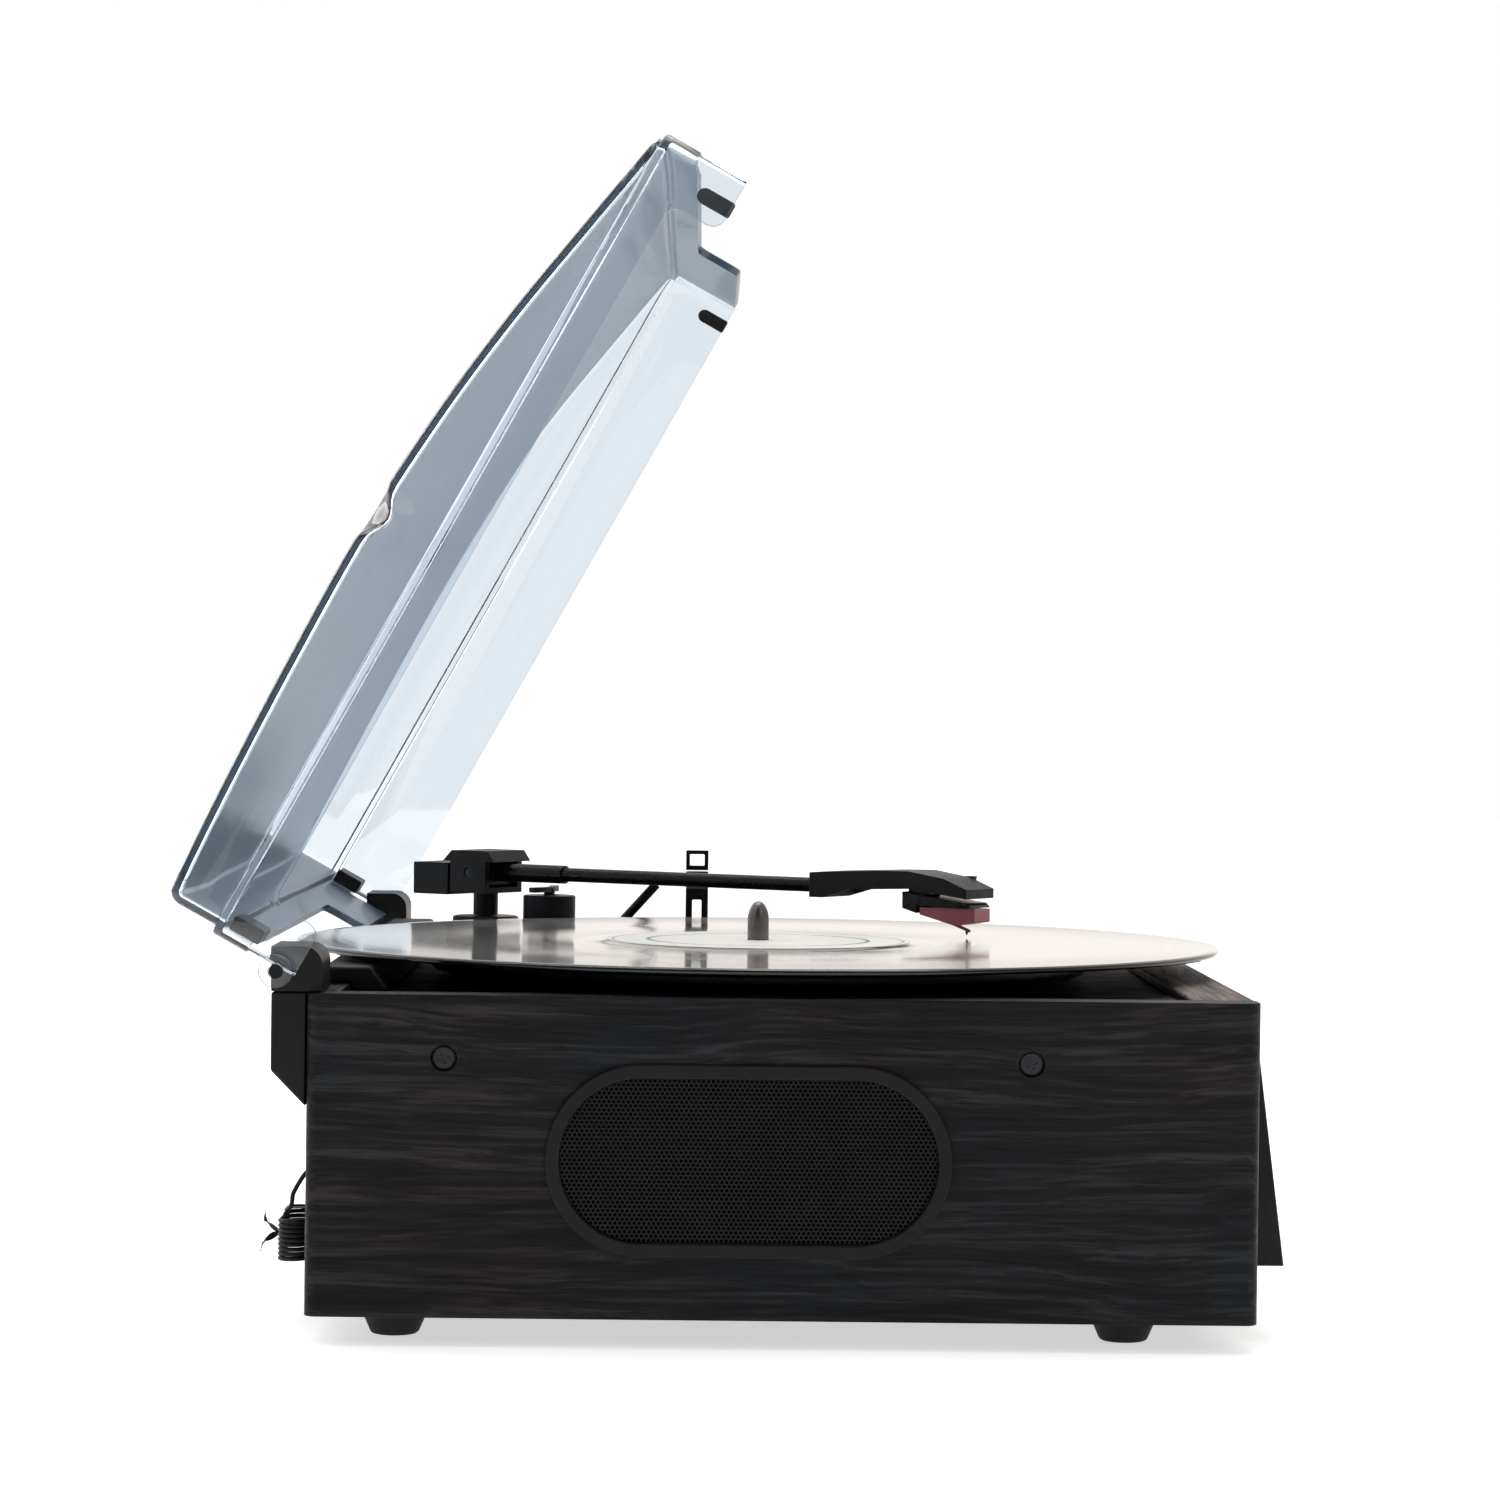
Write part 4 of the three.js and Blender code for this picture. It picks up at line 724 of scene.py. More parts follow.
@dataclass
class AerialWire:
    """Thin free wire from the back plate, folded into a small hank with a twist tie."""

    diameter: float = 1.4
    x: float = -128.0
    back: float = 125.77
    behind: float = 7.6
    turns: int = 9
    half_straight: float = 12.5
    bend: float = 4.2
    high: float = 31.45
    lead: tuple[Point, ...] = (
        (0.0, 2.6, 45.0), (0.0, 3.6, 44.8), (0.0, 5.4, 43.4), (0.0, 7.4, 40.4),
        (0.0, 9.0, 37.4), (0.0, 9.4, 35.9), (0.2, 9.5, 34.6), (1.0, 9.9, 33.1),
        (2.5, 10.8, 32.0), (4.6, 11.6, 31.5), (6.6, 11.8, 31.4))

    def route(self) -> list[Point]:
        """The wire's centreline, from the plate to its bare end."""
        points = []
        knots = [Vector(k) for k in self.lead]
        for index in range(len(knots) - 1):
            a, b = knots[max(index - 1, 0)], knots[index]
            c, d = knots[index + 1], knots[min(index + 2, len(knots) - 1)]
            for step in range(4):
                t = step / 4
                points.append(0.5 * (2 * b + (c - a) * t + (2 * a - 5 * b + 4 * c - d) * t ** 2
                                     + (3 * b - a - 3 * c + d) * t ** 3))
        start = 6.6 / (4 * self.half_straight + math.tau * self.bend)
        total = self.turns * 36
        for step in range(total + 1):
            turn = start + step / 36
            along, off = self.oval(turn % 1.0)
            drop = self.diameter * 1.015 * max(turn - start, 0.0)
            points.append(Vector((along, self.behind + off, self.high - 0.05 - drop)))
        return [(self.x + p.x, self.back + p.y, p.z) for p in points]

    def oval(self, share: float) -> tuple[float, float]:
        """A place on the hank's outline, from the middle of its far run.

        Args:
            share: part of a turn, from 0 to 1.

        Returns:
            (along, off) from the hank's middle.
        """
        straight, bend = self.half_straight, self.bend
        arc = math.pi * bend
        at = share * (4 * straight + 2 * arc)
        if at < straight:
            return at, bend
        at -= straight
        if at < arc:
            return straight + bend * math.sin(at / bend), bend * math.cos(at / bend)
        at -= arc
        if at < 2 * straight:
            return straight - at, -bend
        at -= 2 * straight
        if at < arc:
            return -straight - bend * math.sin(at / bend), -bend * math.cos(at / bend)
        return at - arc - straight, bend

    def tie(self) -> bpy.types.Object:
        """The flat twist tie around the hank, with its two twisted ends."""
        middle = self.back + self.behind
        half_y, width = self.bend + 0.95, 1.2
        high = self.high + 0.95
        low = self.high - self.diameter * 1.015 * self.turns - 0.95
        outline = []
        for step in range(28):
            angle = math.tau * step / 28
            outline.append((middle + half_y * math.copysign(
                abs(math.cos(angle)) ** 0.6, math.cos(angle)), (low + high) / 2
                + (high - low) / 2 * math.copysign(abs(math.sin(angle)) ** 0.6,
                                                   math.sin(angle))))
        points, faces = [], []
        thickness = 0.35
        for y, z in outline:
            out = Vector((y - middle, z - (low + high) / 2)).normalized() * thickness
            for x, grow in ((-width, 0), (width, 0), (width, 1), (-width, 1)):
                points.append((self.x + 2.0 + x, y + out.x * grow, z + out.y * grow))
        count = len(outline)
        for ring in range(count):
            here, after = ring * 4, ((ring + 1) % count) * 4
            for corner in range(4):
                nxt = (corner + 1) % 4
                faces.append((here + corner, here + nxt, after + nxt, after + corner))
        for sign in (-1, 1):
            start = len(points)
            steps = 14
            for step in range(steps + 1):
                share = step / steps
                centre = Vector((self.x + 2.0 + sign * (0.6 + 4.2 * share),
                                 middle + half_y + 0.2 + 5.6 * math.sin(share * 1.6),
                                 (low + high) / 2 + sign * 4.6 * share ** 1.2))
                angle = share * math.pi * 1.6
                side = Vector((math.cos(angle) * 0.3, 0.2, math.sin(angle))) * width * 0.8
                thin = Vector((0.12, 0.12, 0.0))
                for corner in (side + thin, side - thin, -side - thin, -side + thin):
                    points.append(tuple(centre + corner))
            for step in range(steps):
                here, after = start + step * 4, start + step * 4 + 4
                for corner in range(4):
                    nxt = (corner + 1) % 4
                    faces.append((here + corner, here + nxt, after + nxt, after + corner))
            faces.append(tuple(start + corner for corner in range(4)))
            end = start + steps * 4
            faces.append(tuple(end + corner for corner in (3, 2, 1, 0)))
        return dress(mesh_piece("twist_tie", points, faces), "cabinet", WIRE)

    def build(self) -> None:
        """Make the wire and its tie."""
        route = self.route()
        curve = bpy.data.curves.new("aerial_lead", "CURVE")
        curve.dimensions = "3D"
        curve.bevel_depth = self.diameter / 2 * MM
        curve.bevel_resolution = 2
        curve.use_fill_caps = True
        spline = curve.splines.new("POLY")
        spline.points.add(len(route) - 1)
        for point, (x, y, z) in zip(spline.points, route):
            point.co = (x * MM, y * MM, z * MM, 1.0)
        wire = bpy.data.objects.new("aerial_lead", curve)
        bpy.context.scene.collection.objects.link(wire)
        length = sum((Vector(b) - Vector(a)).length for a, b in zip(route, route[1:])) * MM
        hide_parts("aerial_wire", "aerial_hank")
        dress(wire, "cabinet", WIRE)
        tie = self.tie()
        tuple(c * MM for c in route[0])


# ---- Cabinet -------------------------------------------------------------------------------


@dataclass
class Cabinet:
    """Wooden box, deck, feet and the parts fixed to them."""

    foot_bevel: float = 1.0
    panel_bevel: float = 1.1
    screw_radius: float = 3.1
    screws: tuple[tuple[float, float], ...] = ((85.4, 84.5), (-86.8, 84.5))

    def panels(self) -> None:
        """Make the wooden panels."""
        for side in ("left", "right"):
            dress(softened(f"{side}_side_panel", self.panel_bevel, 3), "cabinet", WOOD_SIDE)
        dress(softened("back_panel", 0.5), "cabinet", WOOD_FRONT)
        front = dress(softened("front_board", self.panel_bevel, 3), "cabinet", WOOD_FRONT,
                      WOOD_TOP_PAINTED_LIGHT)
        # Faces that point up take the lighter veneer copy: painted top light.
        for face in front.data.polygons:
            if face.normal.z > 0.7:
                face.material_index = 1
        dress(softened("bottom_panel", 0.4), "cabinet", WOOD_FRONT)

    def deck(self) -> None:
        """Make the deck, its ledge and the feet."""
        dress(softened("deck_board", 0.5), "cabinet", DECK_BLACK)
        dress(softened("rear_ledge", 0.8, 3), "cabinet", DECK_BLACK)
        for foot in ("front_left", "front_right", "rear_left", "rear_right"):
            dress(softened(f"{foot}_foot", self.foot_bevel, 3), "cabinet", RUBBER)

    def screw_heads(self) -> None:
        """Make the four cross-head screws in the side recesses with geometry nodes."""
        places = []
        for sign in (-1, 1):
            places.extend((sign * 188.35, y, z) for y, z in self.screws)
        mesh = bpy.data.meshes.new("side_screws")
        mesh.from_pydata([(x * MM, y * MM, z * MM) for x, y, z in places], [], [])
        piece = link("side_screws", mesh)
        tree = GeometryTree("screw_heads", {"Radius": self.screw_radius * MM,
                                            "Height": 1.5 * MM})
        head = tree.add("MeshCylinder", {"Vertices": 28, "Side Segments": 1,
                                         "Radius": tree.value("Radius"),
                                         "Depth": tree.value("Height")})
        shape = head.outputs[0]
        for turn in (0.4, 0.4 + math.pi / 2):
            bar = tree.add("MeshCube", {"Size": (3.6 * MM, 0.9 * MM, 1.8 * MM)})
            placed = tree.add("Transform", {"Geometry": bar.outputs[0],
                                            "Translation": (0.0, 0.0, 0.9 * MM),
                                            "Rotation": (0.0, 0.0, turn)})
            cut = tree.add("MeshBoolean", {0: shape}, operation="DIFFERENCE", solver="EXACT")
            tree.link(placed.outputs[0], cut.inputs[1])
            shape = cut.outputs[0]
        position = tree.add("InputPosition").outputs[0]
        parts = tree.add("SeparateXYZ", {0: position}, shader=True).outputs
        side = tree.add("Math", {0: parts[0]}, shader=True, operation="SIGN").outputs[0]
        turned = tree.add("Math", {0: side, 1: math.pi / 2}, shader=True,
                          operation="MULTIPLY").outputs[0]
        rotation = tree.add("CombineXYZ", {1: turned}, shader=True).outputs[0]
        spread = tree.add("InstanceOnPoints", {"Points": tree.geometry,
                                               "Instance": shape,
                                               "Rotation": rotation})
        solid = tree.add("RealizeInstances", {0: spread.outputs[0]})
        tree.finish(piece, solid.outputs[0], DARK_STEEL)
        dress(piece, "cabinet", DARK_STEEL)

    def build(self) -> None:
        """Make the cabinet."""
        self.panels()
        self.deck()
        self.screw_heads()


class GeometryTree:
    """A geometry nodes tree built in the script, with named sizes."""

    def __init__(self, name: str, sizes: dict[str, float]) -> None:
        """Start a tree.

        Args:
            name: name of the tree.
            sizes: names and values of its size inputs.
        """
        self.sizes = sizes
        self.tree = bpy.data.node_groups.new(name, "GeometryNodeTree")
        face = self.tree.interface
        face.new_socket("Geometry", in_out="INPUT", socket_type="NodeSocketGeometry")
        for size, value in sizes.items():
            socket = face.new_socket(size, in_out="INPUT", socket_type="NodeSocketFloat")
            socket.default_value = value
        face.new_socket("Geometry", in_out="OUTPUT", socket_type="NodeSocketGeometry")
        self.start = self.tree.nodes.new("NodeGroupInput")
        self.end = self.tree.nodes.new("NodeGroupOutput")
        self.geometry = self.start.outputs["Geometry"]

    def value(self, name: str) -> bpy.types.NodeSocket:
        """The socket of a named size."""
        return self.start.outputs[name]

    def link(self, source: bpy.types.NodeSocket, target: bpy.types.NodeSocket) -> None:
        """Join two sockets."""
        self.tree.links.new(source, target)

    def add(self, kind: str, inputs: dict | None = None, shader: bool = False,
            **settings) -> bpy.types.Node:
        """Add a node.

        Args:
            kind: node type without its prefix.
            inputs: socket name or number to a value or an output socket.
            shader: whether the type is one that shaders share.
            settings: attributes of the node.

        Returns:
            The node.
        """
        node = self.tree.nodes.new(("ShaderNode" if shader else "GeometryNode") + kind)
        for key, value in settings.items():
            setattr(node, key, value)
        for key, value in (inputs or {}).items():
            if isinstance(value, bpy.types.NodeSocket):
                self.tree.links.new(value, node.inputs[key])
            else:
                node.inputs[key].default_value = value
        return node

    def maths(self, operation: str, first, second=0.0) -> bpy.types.NodeSocket:
        """One arithmetic step."""
        return self.add("Math", {0: first, 1: second}, shader=True,
                        operation=operation).outputs[0]

    def finish(self, piece: bpy.types.Object, result: bpy.types.NodeSocket,
               finish: Finish) -> bpy.types.Object:
        """Set the material, run the tree on a piece and keep the plain mesh.

        Args:
            piece: the piece that the tree works on.
            result: the tree's last geometry socket.
            finish: finish of the new faces.

        Returns:
            The same piece.
        """
        coloured = self.add("SetMaterial", {"Geometry": result})
        coloured.inputs["Material"].default_value = finish.material()
        self.link(coloured.outputs[0], self.end.inputs[0])
        modifier = piece.modifiers.new(self.tree.name, "NODES")
        modifier.node_group = self.tree
        for item in self.tree.interface.items_tree:
            if item.in_out == "INPUT" and item.name in self.sizes:
                modifier[item.identifier] = self.sizes[item.name]
        settle(piece)
        smooth_shade(piece.data)
        return piece


# ---- Side speakers -------------------------------------------------------------------------


@dataclass
class Speaker:
    """One side's oval bezel, perforated grille and driver."""

    side: str
    sign: int
    centre_y: float = -4.2294
    centre_z: float = 55.0
    length: float = 111.8
    height: float = 48.9
    pitch: float = 1.42
    hole_share: float = 0.66
    thickness: float = 0.6

    def grille(self) -> None:
        """Make the perforated sheet: six-sided holes in a staggered field."""
        piece = link(f"{self.side}_grille_sheet",
                     bpy.data.meshes.new(f"{self.side}_grille_sheet"))
        tree = GeometryTree(f"{self.side}_perforation", {
            "Pitch": self.pitch * MM, "Hole Share": self.hole_share,
            "Thickness": self.thickness * MM, "Half Straight":
                (self.length - self.height) / 2 * MM, "End Radius": self.height / 2 * MM})
        columns = int(self.length / self.pitch) + 5
        rows = int(self.height / (self.pitch * 0.866)) + 5
        rows += 1 - rows % 2
        wide = tree.maths("MULTIPLY", tree.value("Pitch"), float(columns - 1))
        row_step = tree.maths("MULTIPLY", tree.value("Pitch"), 0.8660254)
        tall = tree.maths("MULTIPLY", row_step, float(rows - 1))
        grid = tree.add("MeshGrid", {"Size X": wide, "Size Y": tall, "Vertices X": columns,
                                     "Vertices Y": rows})
        parts = tree.add("SeparateXYZ", {0: tree.add("InputPosition").outputs[0]},
                         shader=True).outputs
        row = tree.maths("ROUND", tree.maths("DIVIDE", parts[1], row_step))
        odd = tree.maths("ABSOLUTE", tree.maths("MODULO", row, 2.0))
        shift = tree.maths("MULTIPLY", odd, tree.maths("MULTIPLY", tree.value("Pitch"), 0.5))
        offset = tree.add("CombineXYZ", {0: shift}, shader=True).outputs[0]
        moved = tree.add("SetPosition", {"Geometry": grid.outputs[0], "Offset": offset})
        triangles = tree.add("Triangulate", {0: moved.outputs[0]},
                             quad_method="SHORTEST_DIAGONAL")
        cells = tree.add("DualMesh", {0: triangles.outputs[0]})
        at = tree.add("SeparateXYZ", {0: tree.add("InputPosition").outputs[0]},
                      shader=True).outputs
        past = tree.maths("MAXIMUM", tree.maths(
            "SUBTRACT", tree.maths("ABSOLUTE", at[0]), tree.value("Half Straight")), 0.0)
        reach = tree.maths("SQRT", tree.maths("ADD", tree.maths("MULTIPLY", past, past),
                                              tree.maths("MULTIPLY", at[1], at[1])))
        outside = tree.maths("GREATER_THAN", reach, tree.value("End Radius"))
        kept = tree.add("DeleteGeometry", {"Geometry": cells.outputs[0],
                                           "Selection": outside}, domain="FACE")
        inner = tree.add("ExtrudeMesh", {"Mesh": kept.outputs[0], "Offset Scale": 0.0,
                                         "Individual": True}, mode="FACES")
        shrunk = tree.add("ScaleElements", {"Geometry": inner.outputs["Mesh"],
                                            "Selection": inner.outputs["Top"],
                                            "Scale": tree.value("Hole Share")},
                          domain="FACE")
        sheet = tree.add("DeleteGeometry", {"Geometry": shrunk.outputs[0],
                                            "Selection": inner.outputs["Top"]},
                         domain="FACE")
        merged = tree.add("MergeByDistance", {"Geometry": sheet.outputs[0],
                                              "Distance": 0.002 * MM})
        thick = tree.add("ExtrudeMesh", {"Mesh": merged.outputs[0],
                                         "Offset Scale": tree.value("Thickness"),
                                         "Individual": False}, mode="FACES")
        under = tree.add("FlipFaces", {0: merged.outputs[0]})
        whole = tree.add("JoinGeometry", {0: thick.outputs["Mesh"]})
        tree.link(under.outputs[0], whole.inputs[0])
        closed = tree.add("MergeByDistance", {"Geometry": whole.outputs[0],
                                              "Distance": 0.002 * MM})
        stand = tree.add("Transform", {
            "Geometry": closed.outputs[0],
            "Translation": (self.sign * 188.7 * MM, self.centre_y * MM, self.centre_z * MM),
            "Rotation": (math.pi / 2, 0.0, self.sign * math.pi / 2)})
        tree.finish(piece, stand.outputs[0], GRILLE_BLACK)
        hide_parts(f"{self.side}_speaker_grille")
        dress(piece, "cabinet", GRILLE_BLACK)

    def baffle(self) -> None:
        """Make the dark board that the driver is set in, behind the side panel."""
        half = (self.length - self.height) / 2 + 2.0
        end, hole, count = self.height / 2 + 2.5, 22.0, 96
        points, faces = [], []
        for depth in (177.95, 177.0):
            for step in range(count):
                angle = math.tau * step / count
                y, z = hole * math.cos(angle), hole * math.sin(angle)
                points.append((self.sign * depth, self.centre_y + y, self.centre_z + z))
                shift = half * max(min(math.cos(angle) * 1.6, 1.0), -1.0)
                points.append((self.sign * depth, self.centre_y + end * math.cos(angle) + shift,
                               self.centre_z + end * math.sin(angle)))
        for step in range(count):
            a, b = 2 * step, 2 * ((step + 1) % count)
            c, d = a + 2 * count, b + 2 * count
            faces += [(a, b, b + 1, a + 1), (c, c + 1, d + 1, d), (a, c, d, b),
                      (a + 1, b + 1, d + 1, c + 1)]
        dress(mesh_piece(f"{self.side}_speaker_baffle", points, faces, smooth=False), "cabinet",
              PAPER_CONE)

    def driver(self) -> None:
        """Make the round driver behind the sheet."""
        out = self.sign
        base = (out * 178.0, self.centre_y, self.centre_z)
        cone = [(0.0, 1.2), (3.0, 2.4), (6.4, 2.6), (7.0, 0.9), (12.0, 3.2), (18.2, 6.2),
                (19.0, 6.6), (20.4, 7.3), (21.9, 6.7), (22.6, 6.9), (25.0, 7.0),
                (25.0, 5.0), (21.0, 1.0), (14.0, -8.0), (13.5, -13.0), (0.0, -13.0)]
        piece = lathe(f"{self.side}_driver_cone", base, cone, 72, (out, 0.0, 0.0))
        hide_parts(f"{self.side}_speaker_driver")
        dress(piece, "cabinet", PAPER_CONE)

    def build(self) -> None:
        """Make the speaker."""
        dress(softened(f"{self.side}_speaker_bezel", 0.6, 3, angle=25.0), "cabinet",
              BLACK_PLASTIC)
        self.grille()
        self.baffle()
        self.driver()


# ---- Platter and record --------------------------------------------------------------------


@dataclass
class Platter:
    """Turning platter with its mat, record, spindle, belt and drive."""

    axis_x: float = -40.0
    axis_y: float = -8.2294
    record_radius: float = 150.8
    record_low: float = 109.6
    record_high: float = 111.5
    label_radius: float = 50.0

    def centre(self) -> Point:
        """Foot of the platter's axis."""
        return (self.axis_x, self.axis_y, 0.0)

    def record(self) -> None:
        """Make the record: raised rim, playing band, run-out, label rise and hole."""
        low, high = self.record_low, self.record_high
        edge = self.record_radius
        top = [(edge - 5.6, high - 0.25), (edge - 3.8, high), (edge - 0.7, high),
               (edge - 0.15, high - 0.4)]
        bottom = [(edge - 0.15, low + 0.4), (edge - 0.7, low), (edge - 3.8, low),
                  (edge - 5.6, low + 0.2)]
        profile = [(3.8, low + 0.05), (self.label_radius, low + 0.05),
                   (self.label_radius + 2.2, low + 0.25)] + bottom[::-1] + [
            (edge, (low + high) / 2)] + top[::-1] + [
            (98.0, high - 0.26), (61.0, high - 0.26), (60.0, high - 0.34),
            (53.4, high - 0.34), (self.label_radius + 1.4, high - 0.1),
            (self.label_radius + 0.2, high + 0.18), (3.8, high + 0.18)]
        disc = lathe("record_disc", self.centre(), profile, 192)
        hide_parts("record")
        dress(disc, "turning_platter", VINYL)
        label = [(3.9, high + 0.19), (self.label_radius - 0.2, high + 0.19),
                 (self.label_radius - 0.1, high + 0.3), (16.4, high + 0.3), (15.8, high + 0.24),
                 (15.0, high + 0.24), (14.4, high + 0.3), (3.9, high + 0.3)]
        dress(lathe("record_label", self.centre(), label, 128), "turning_platter", LABEL)

    def platter(self) -> None:
        """Make the platter, its ribbed mat and the spindle."""
        dress(softened("platter", 0.7, 3, angle=40.0), "turning_platter", GLOSS_PLASTIC)
        low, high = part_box("platter_mat")
        bottom, top = low.z / MM, high.z / MM
        outer = (high.x - low.x) / MM / 2
        profile = [(3.8, bottom), (outer, bottom), (outer, top - 0.3), (outer - 0.3, top)]
        ring = outer - 6.0
        while ring > 58.0:
            profile += [(ring + 1.6, top), (ring + 1.3, top - 0.35), (ring + 0.3, top - 0.35),
                        (ring, top)]
            ring -= 7.5
        profile += [(52.0, top), (51.6, top - 0.4), (3.8, top - 0.4)]
        mat = lathe("ribbed_mat", self.centre(), profile, 128)
        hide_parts("platter_mat")
        dress(mat, "turning_platter", RUBBER)
        low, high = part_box("spindle")
        foot, tip, pin = low.z / MM, high.z / MM, 3.5
        stem = [(0.0, foot), (pin - 0.3, foot), (pin, foot + 0.4), (pin, tip - 6.2)]
        for step in range(1, 9):
            angle = math.radians(90 * step / 8)
            stem.append((pin * math.cos(angle) if step < 8 else 0.0,
                         tip - 6.2 + 6.2 * math.sin(angle)))
        spindle = lathe("spindle_pin", self.centre(), stem, 40)
        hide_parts("spindle")
        dress(spindle, "turning_platter", DULL_STEEL)

    def drive(self) -> None:
        """Dress the belt, pulley, motor and bearing."""
        dress_node("drive_belt", RUBBER)
        dress(softened("motor_pulley", 0.3), "pulley", STEEL)
        dress_node("motor", DARK_STEEL)
        dress_node("spindle_bearing", STEEL)

    def build(self) -> None:
        """Make the platter and what turns with it."""
        self.platter()
        self.record()
        self.drive()


# ---- Dust lid ------------------------------------------------------------------------------


@dataclass
class DustLid:
    """Clear lid: skirt, stepped dome, rim cut-outs, thumb scoop, bumpers and hinge leaves."""

    width: float = 380.0
    length: float = 270.0
    wall: float = 2.5
    rim: float = -5.5
    skirt_top: float = 22.0
    step_in: float = 2.5
    corner: float = 6.0
    notch_top: float = 10.5
    ear: float = 17.0
    tab: float = 18.0
    notch_end: float = 68.0
    hinge_y: float = 134.8706
    hinge_z: float = 109.4
    open_angle: float = 61.0
    crown: tuple[tuple[float, float], ...] = (
        (0.0, 36.6), (3.0, 38.2), (10.0, 39.2), (40.0, 41.0), (80.0, 42.4), (124.0, 42.8),
        (165.0, 40.4), (199.0, 36.3), (232.0, 30.6), (262.0, 25.0), (270.0, 23.4))

    def height(self, along: float) -> float:
        """Height of the dome's outside at a distance in front of the hinge line."""
        knots = self.crown
        at = min(max(along, 0.0), self.length)
        index = max(i for i in range(len(knots) - 1) if knots[i][0] <= at)
        (u0, v0), (u1, v1) = knots[index], knots[index + 1]

        def slope(i: int) -> float:
            """Slope of the crown line at a knot."""
            before, after = knots[max(i - 1, 0)], knots[min(i + 1, len(knots) - 1)]
            return (after[1] - before[1]) / (after[0] - before[0])

        t, span = (at - u0) / (u1 - u0), u1 - u0
        a, b = slope(index) * span, slope(index + 1) * span
        return ((2 * t ** 3 - 3 * t ** 2 + 1) * v0 + (t ** 3 - 2 * t ** 2 + t) * a
                + (-2 * t ** 3 + 3 * t ** 2) * v1 + (t ** 3 - t ** 2) * b)

    def stations(self) -> tuple[list[float], list[float]]:
        """Distances along the sides and across the ends where the rings have points."""
        along = {9.0 + 4.0 * n for n in range(64)}
        along |= {self.ear, self.length - self.tab, 119.0, 123.0, 127.0, 131.0, 135.0, 139.0,
                  143.0}
        for end, sign in ((self.ear, 1), (self.length - self.tab, -1)):
            along |= {end + sign * d for d in (0.4, 1.2, 2.4, 4.0)}
            along |= {end - sign * d for d in (0.4, 1.2, 2.4, 4.0)}
        along = sorted(u for u in along if 8.6 <= u <= self.length - 8.6)
        across = {-178.0 + 8.0 * n for n in range(45)} | {self.notch_end}
        across |= {self.notch_end + d for d in (-4.0, -2.4, -1.2, -0.4, 0.4, 1.2, 2.4, 4.0)}
        kept_along = [along[0]]
        for u in along[1:]:
            if u - kept_along[-1] > 0.35:
                kept_along.append(u)
        return kept_along, sorted(across)

    def ring(self, inset: float) -> list[tuple[float, float, str]]:
        """Points around the plan at an inset: (x, along, which side).

        Args:
            inset: distance in from the skirt's outside.

        Returns:
            The points, clockwise from the rear left, each with its side's name.
        """
        radius = max(self.corner - inset, 0.6)
        half = self.width / 2 - inset
        rear, front = inset, self.length - inset
        along, across = self.stations()
        points = [(-half, u, "left") for u in along]

        def turn(cx: float, cu: float, start: float, name: str) -> None:
            """Add a corner's points, clockwise from a bearing in degrees off the left side."""
            for step in range(CORNER_STEPS + 1):
                angle = math.radians(start + 90.0 * step / CORNER_STEPS)
                points.append((cx - radius * math.cos(angle), cu + radius * math.sin(angle),
                               name))

        turn(-half + radius, front - radius, 0.0, "front_left")
        points += [(x, front, "front") for x in across]
        turn(half - radius, front - radius, 90.0, "front_right")
        points += [(half, u, "right") for u in reversed(along)]
        turn(half - radius, rear + radius, 180.0, "rear_right")
        points += [(x, rear, "rear") for x in reversed(across)]
        turn(-half + radius, rear + radius, 270.0, "rear_left")
        return points

    def in_notch(self, x: float, along: float, side: str) -> bool:
        """Whether the rim is cut away at a place on the outside.

        Args:
            x: place across the lid.
            along: distance from the hinge line.
            side: name of the side that the place is on.

        Returns:
            True where a cut-out opens the rim.
        """
        if side == "left":
            return self.ear <= along <= self.length - self.tab
        if side in ("front", "rear"):
            return x <= self.notch_end or (side == "rear" and x >= 156.0)
        if side in ("front_left", "rear_left"):
            return x > -self.width / 2 + 1.8
        return side == "rear_right" and x < self.width / 2 - 1.8

    def ends(self) -> list[tuple[str, float, int]]:
        """Ends of the cut-outs: side, place and the direction into the cut-out."""
        return [("left", self.ear, 1), ("left", self.length - self.tab, -1),
                ("front", self.notch_end, -1), ("rear", self.notch_end, -1)]

    def eased(self, x: float, along: float, side: str, low: bool) -> float:
        """How far a cut-out's corner rounding moves the rim or the cut-out's top edge."""
        radius = 4.0
        for end_side, end, way in self.ends():
            if side != end_side:
                continue
            distance = ((along if side == "left" else x) - end) * way
            if low and -radius < distance <= 0:
                d = -distance
                return radius - math.sqrt(max(radius ** 2 - (radius - d) ** 2, 0.0))
            if not low and 0 <= distance < radius:
                d = distance
                return -(radius - math.sqrt(max(radius ** 2 - (radius - d) ** 2, 0.0)))
        return 0.0

    def scoop(self, x: float, along: float, up: float) -> tuple[float, float]:
        """Shift of the thumb scoop at a place: (towards +X, down)."""
        near_u = (along - 131.0) / 9.5
        near_x = (x + self.width / 2 - self.step_in) / 13.0
        near_v = (self.height(along) - up) / 9.0
        if abs(near_u) >= 1 or near_x >= 1 or near_v >= 1:
            return 0.0, 0.0
        weight = (1 - near_u ** 2) ** 2 * (1 - max(near_x, 0.0) ** 2) ** 2 \
            * (1 - max(near_v, 0.0) ** 2) ** 2
        return 2.4 * weight, 4.6 * weight

    def shell_rings(self, inner: bool) -> list[list[Point]]:
        """One face of the wall as rings from the rim to the top, in the lid's own frame.

        Args:
            inner: whether this is the inside face.

        Returns:
            Rings of (x, along, up) points.
        """
        skin = self.wall if inner else 0.0
        lip = skin + self.step_in
        fillet = 1.4 if inner else 3.2
        plan = [self.ring(skin), self.ring(lip)]
        names = self.ring(0.0)
        rings = []

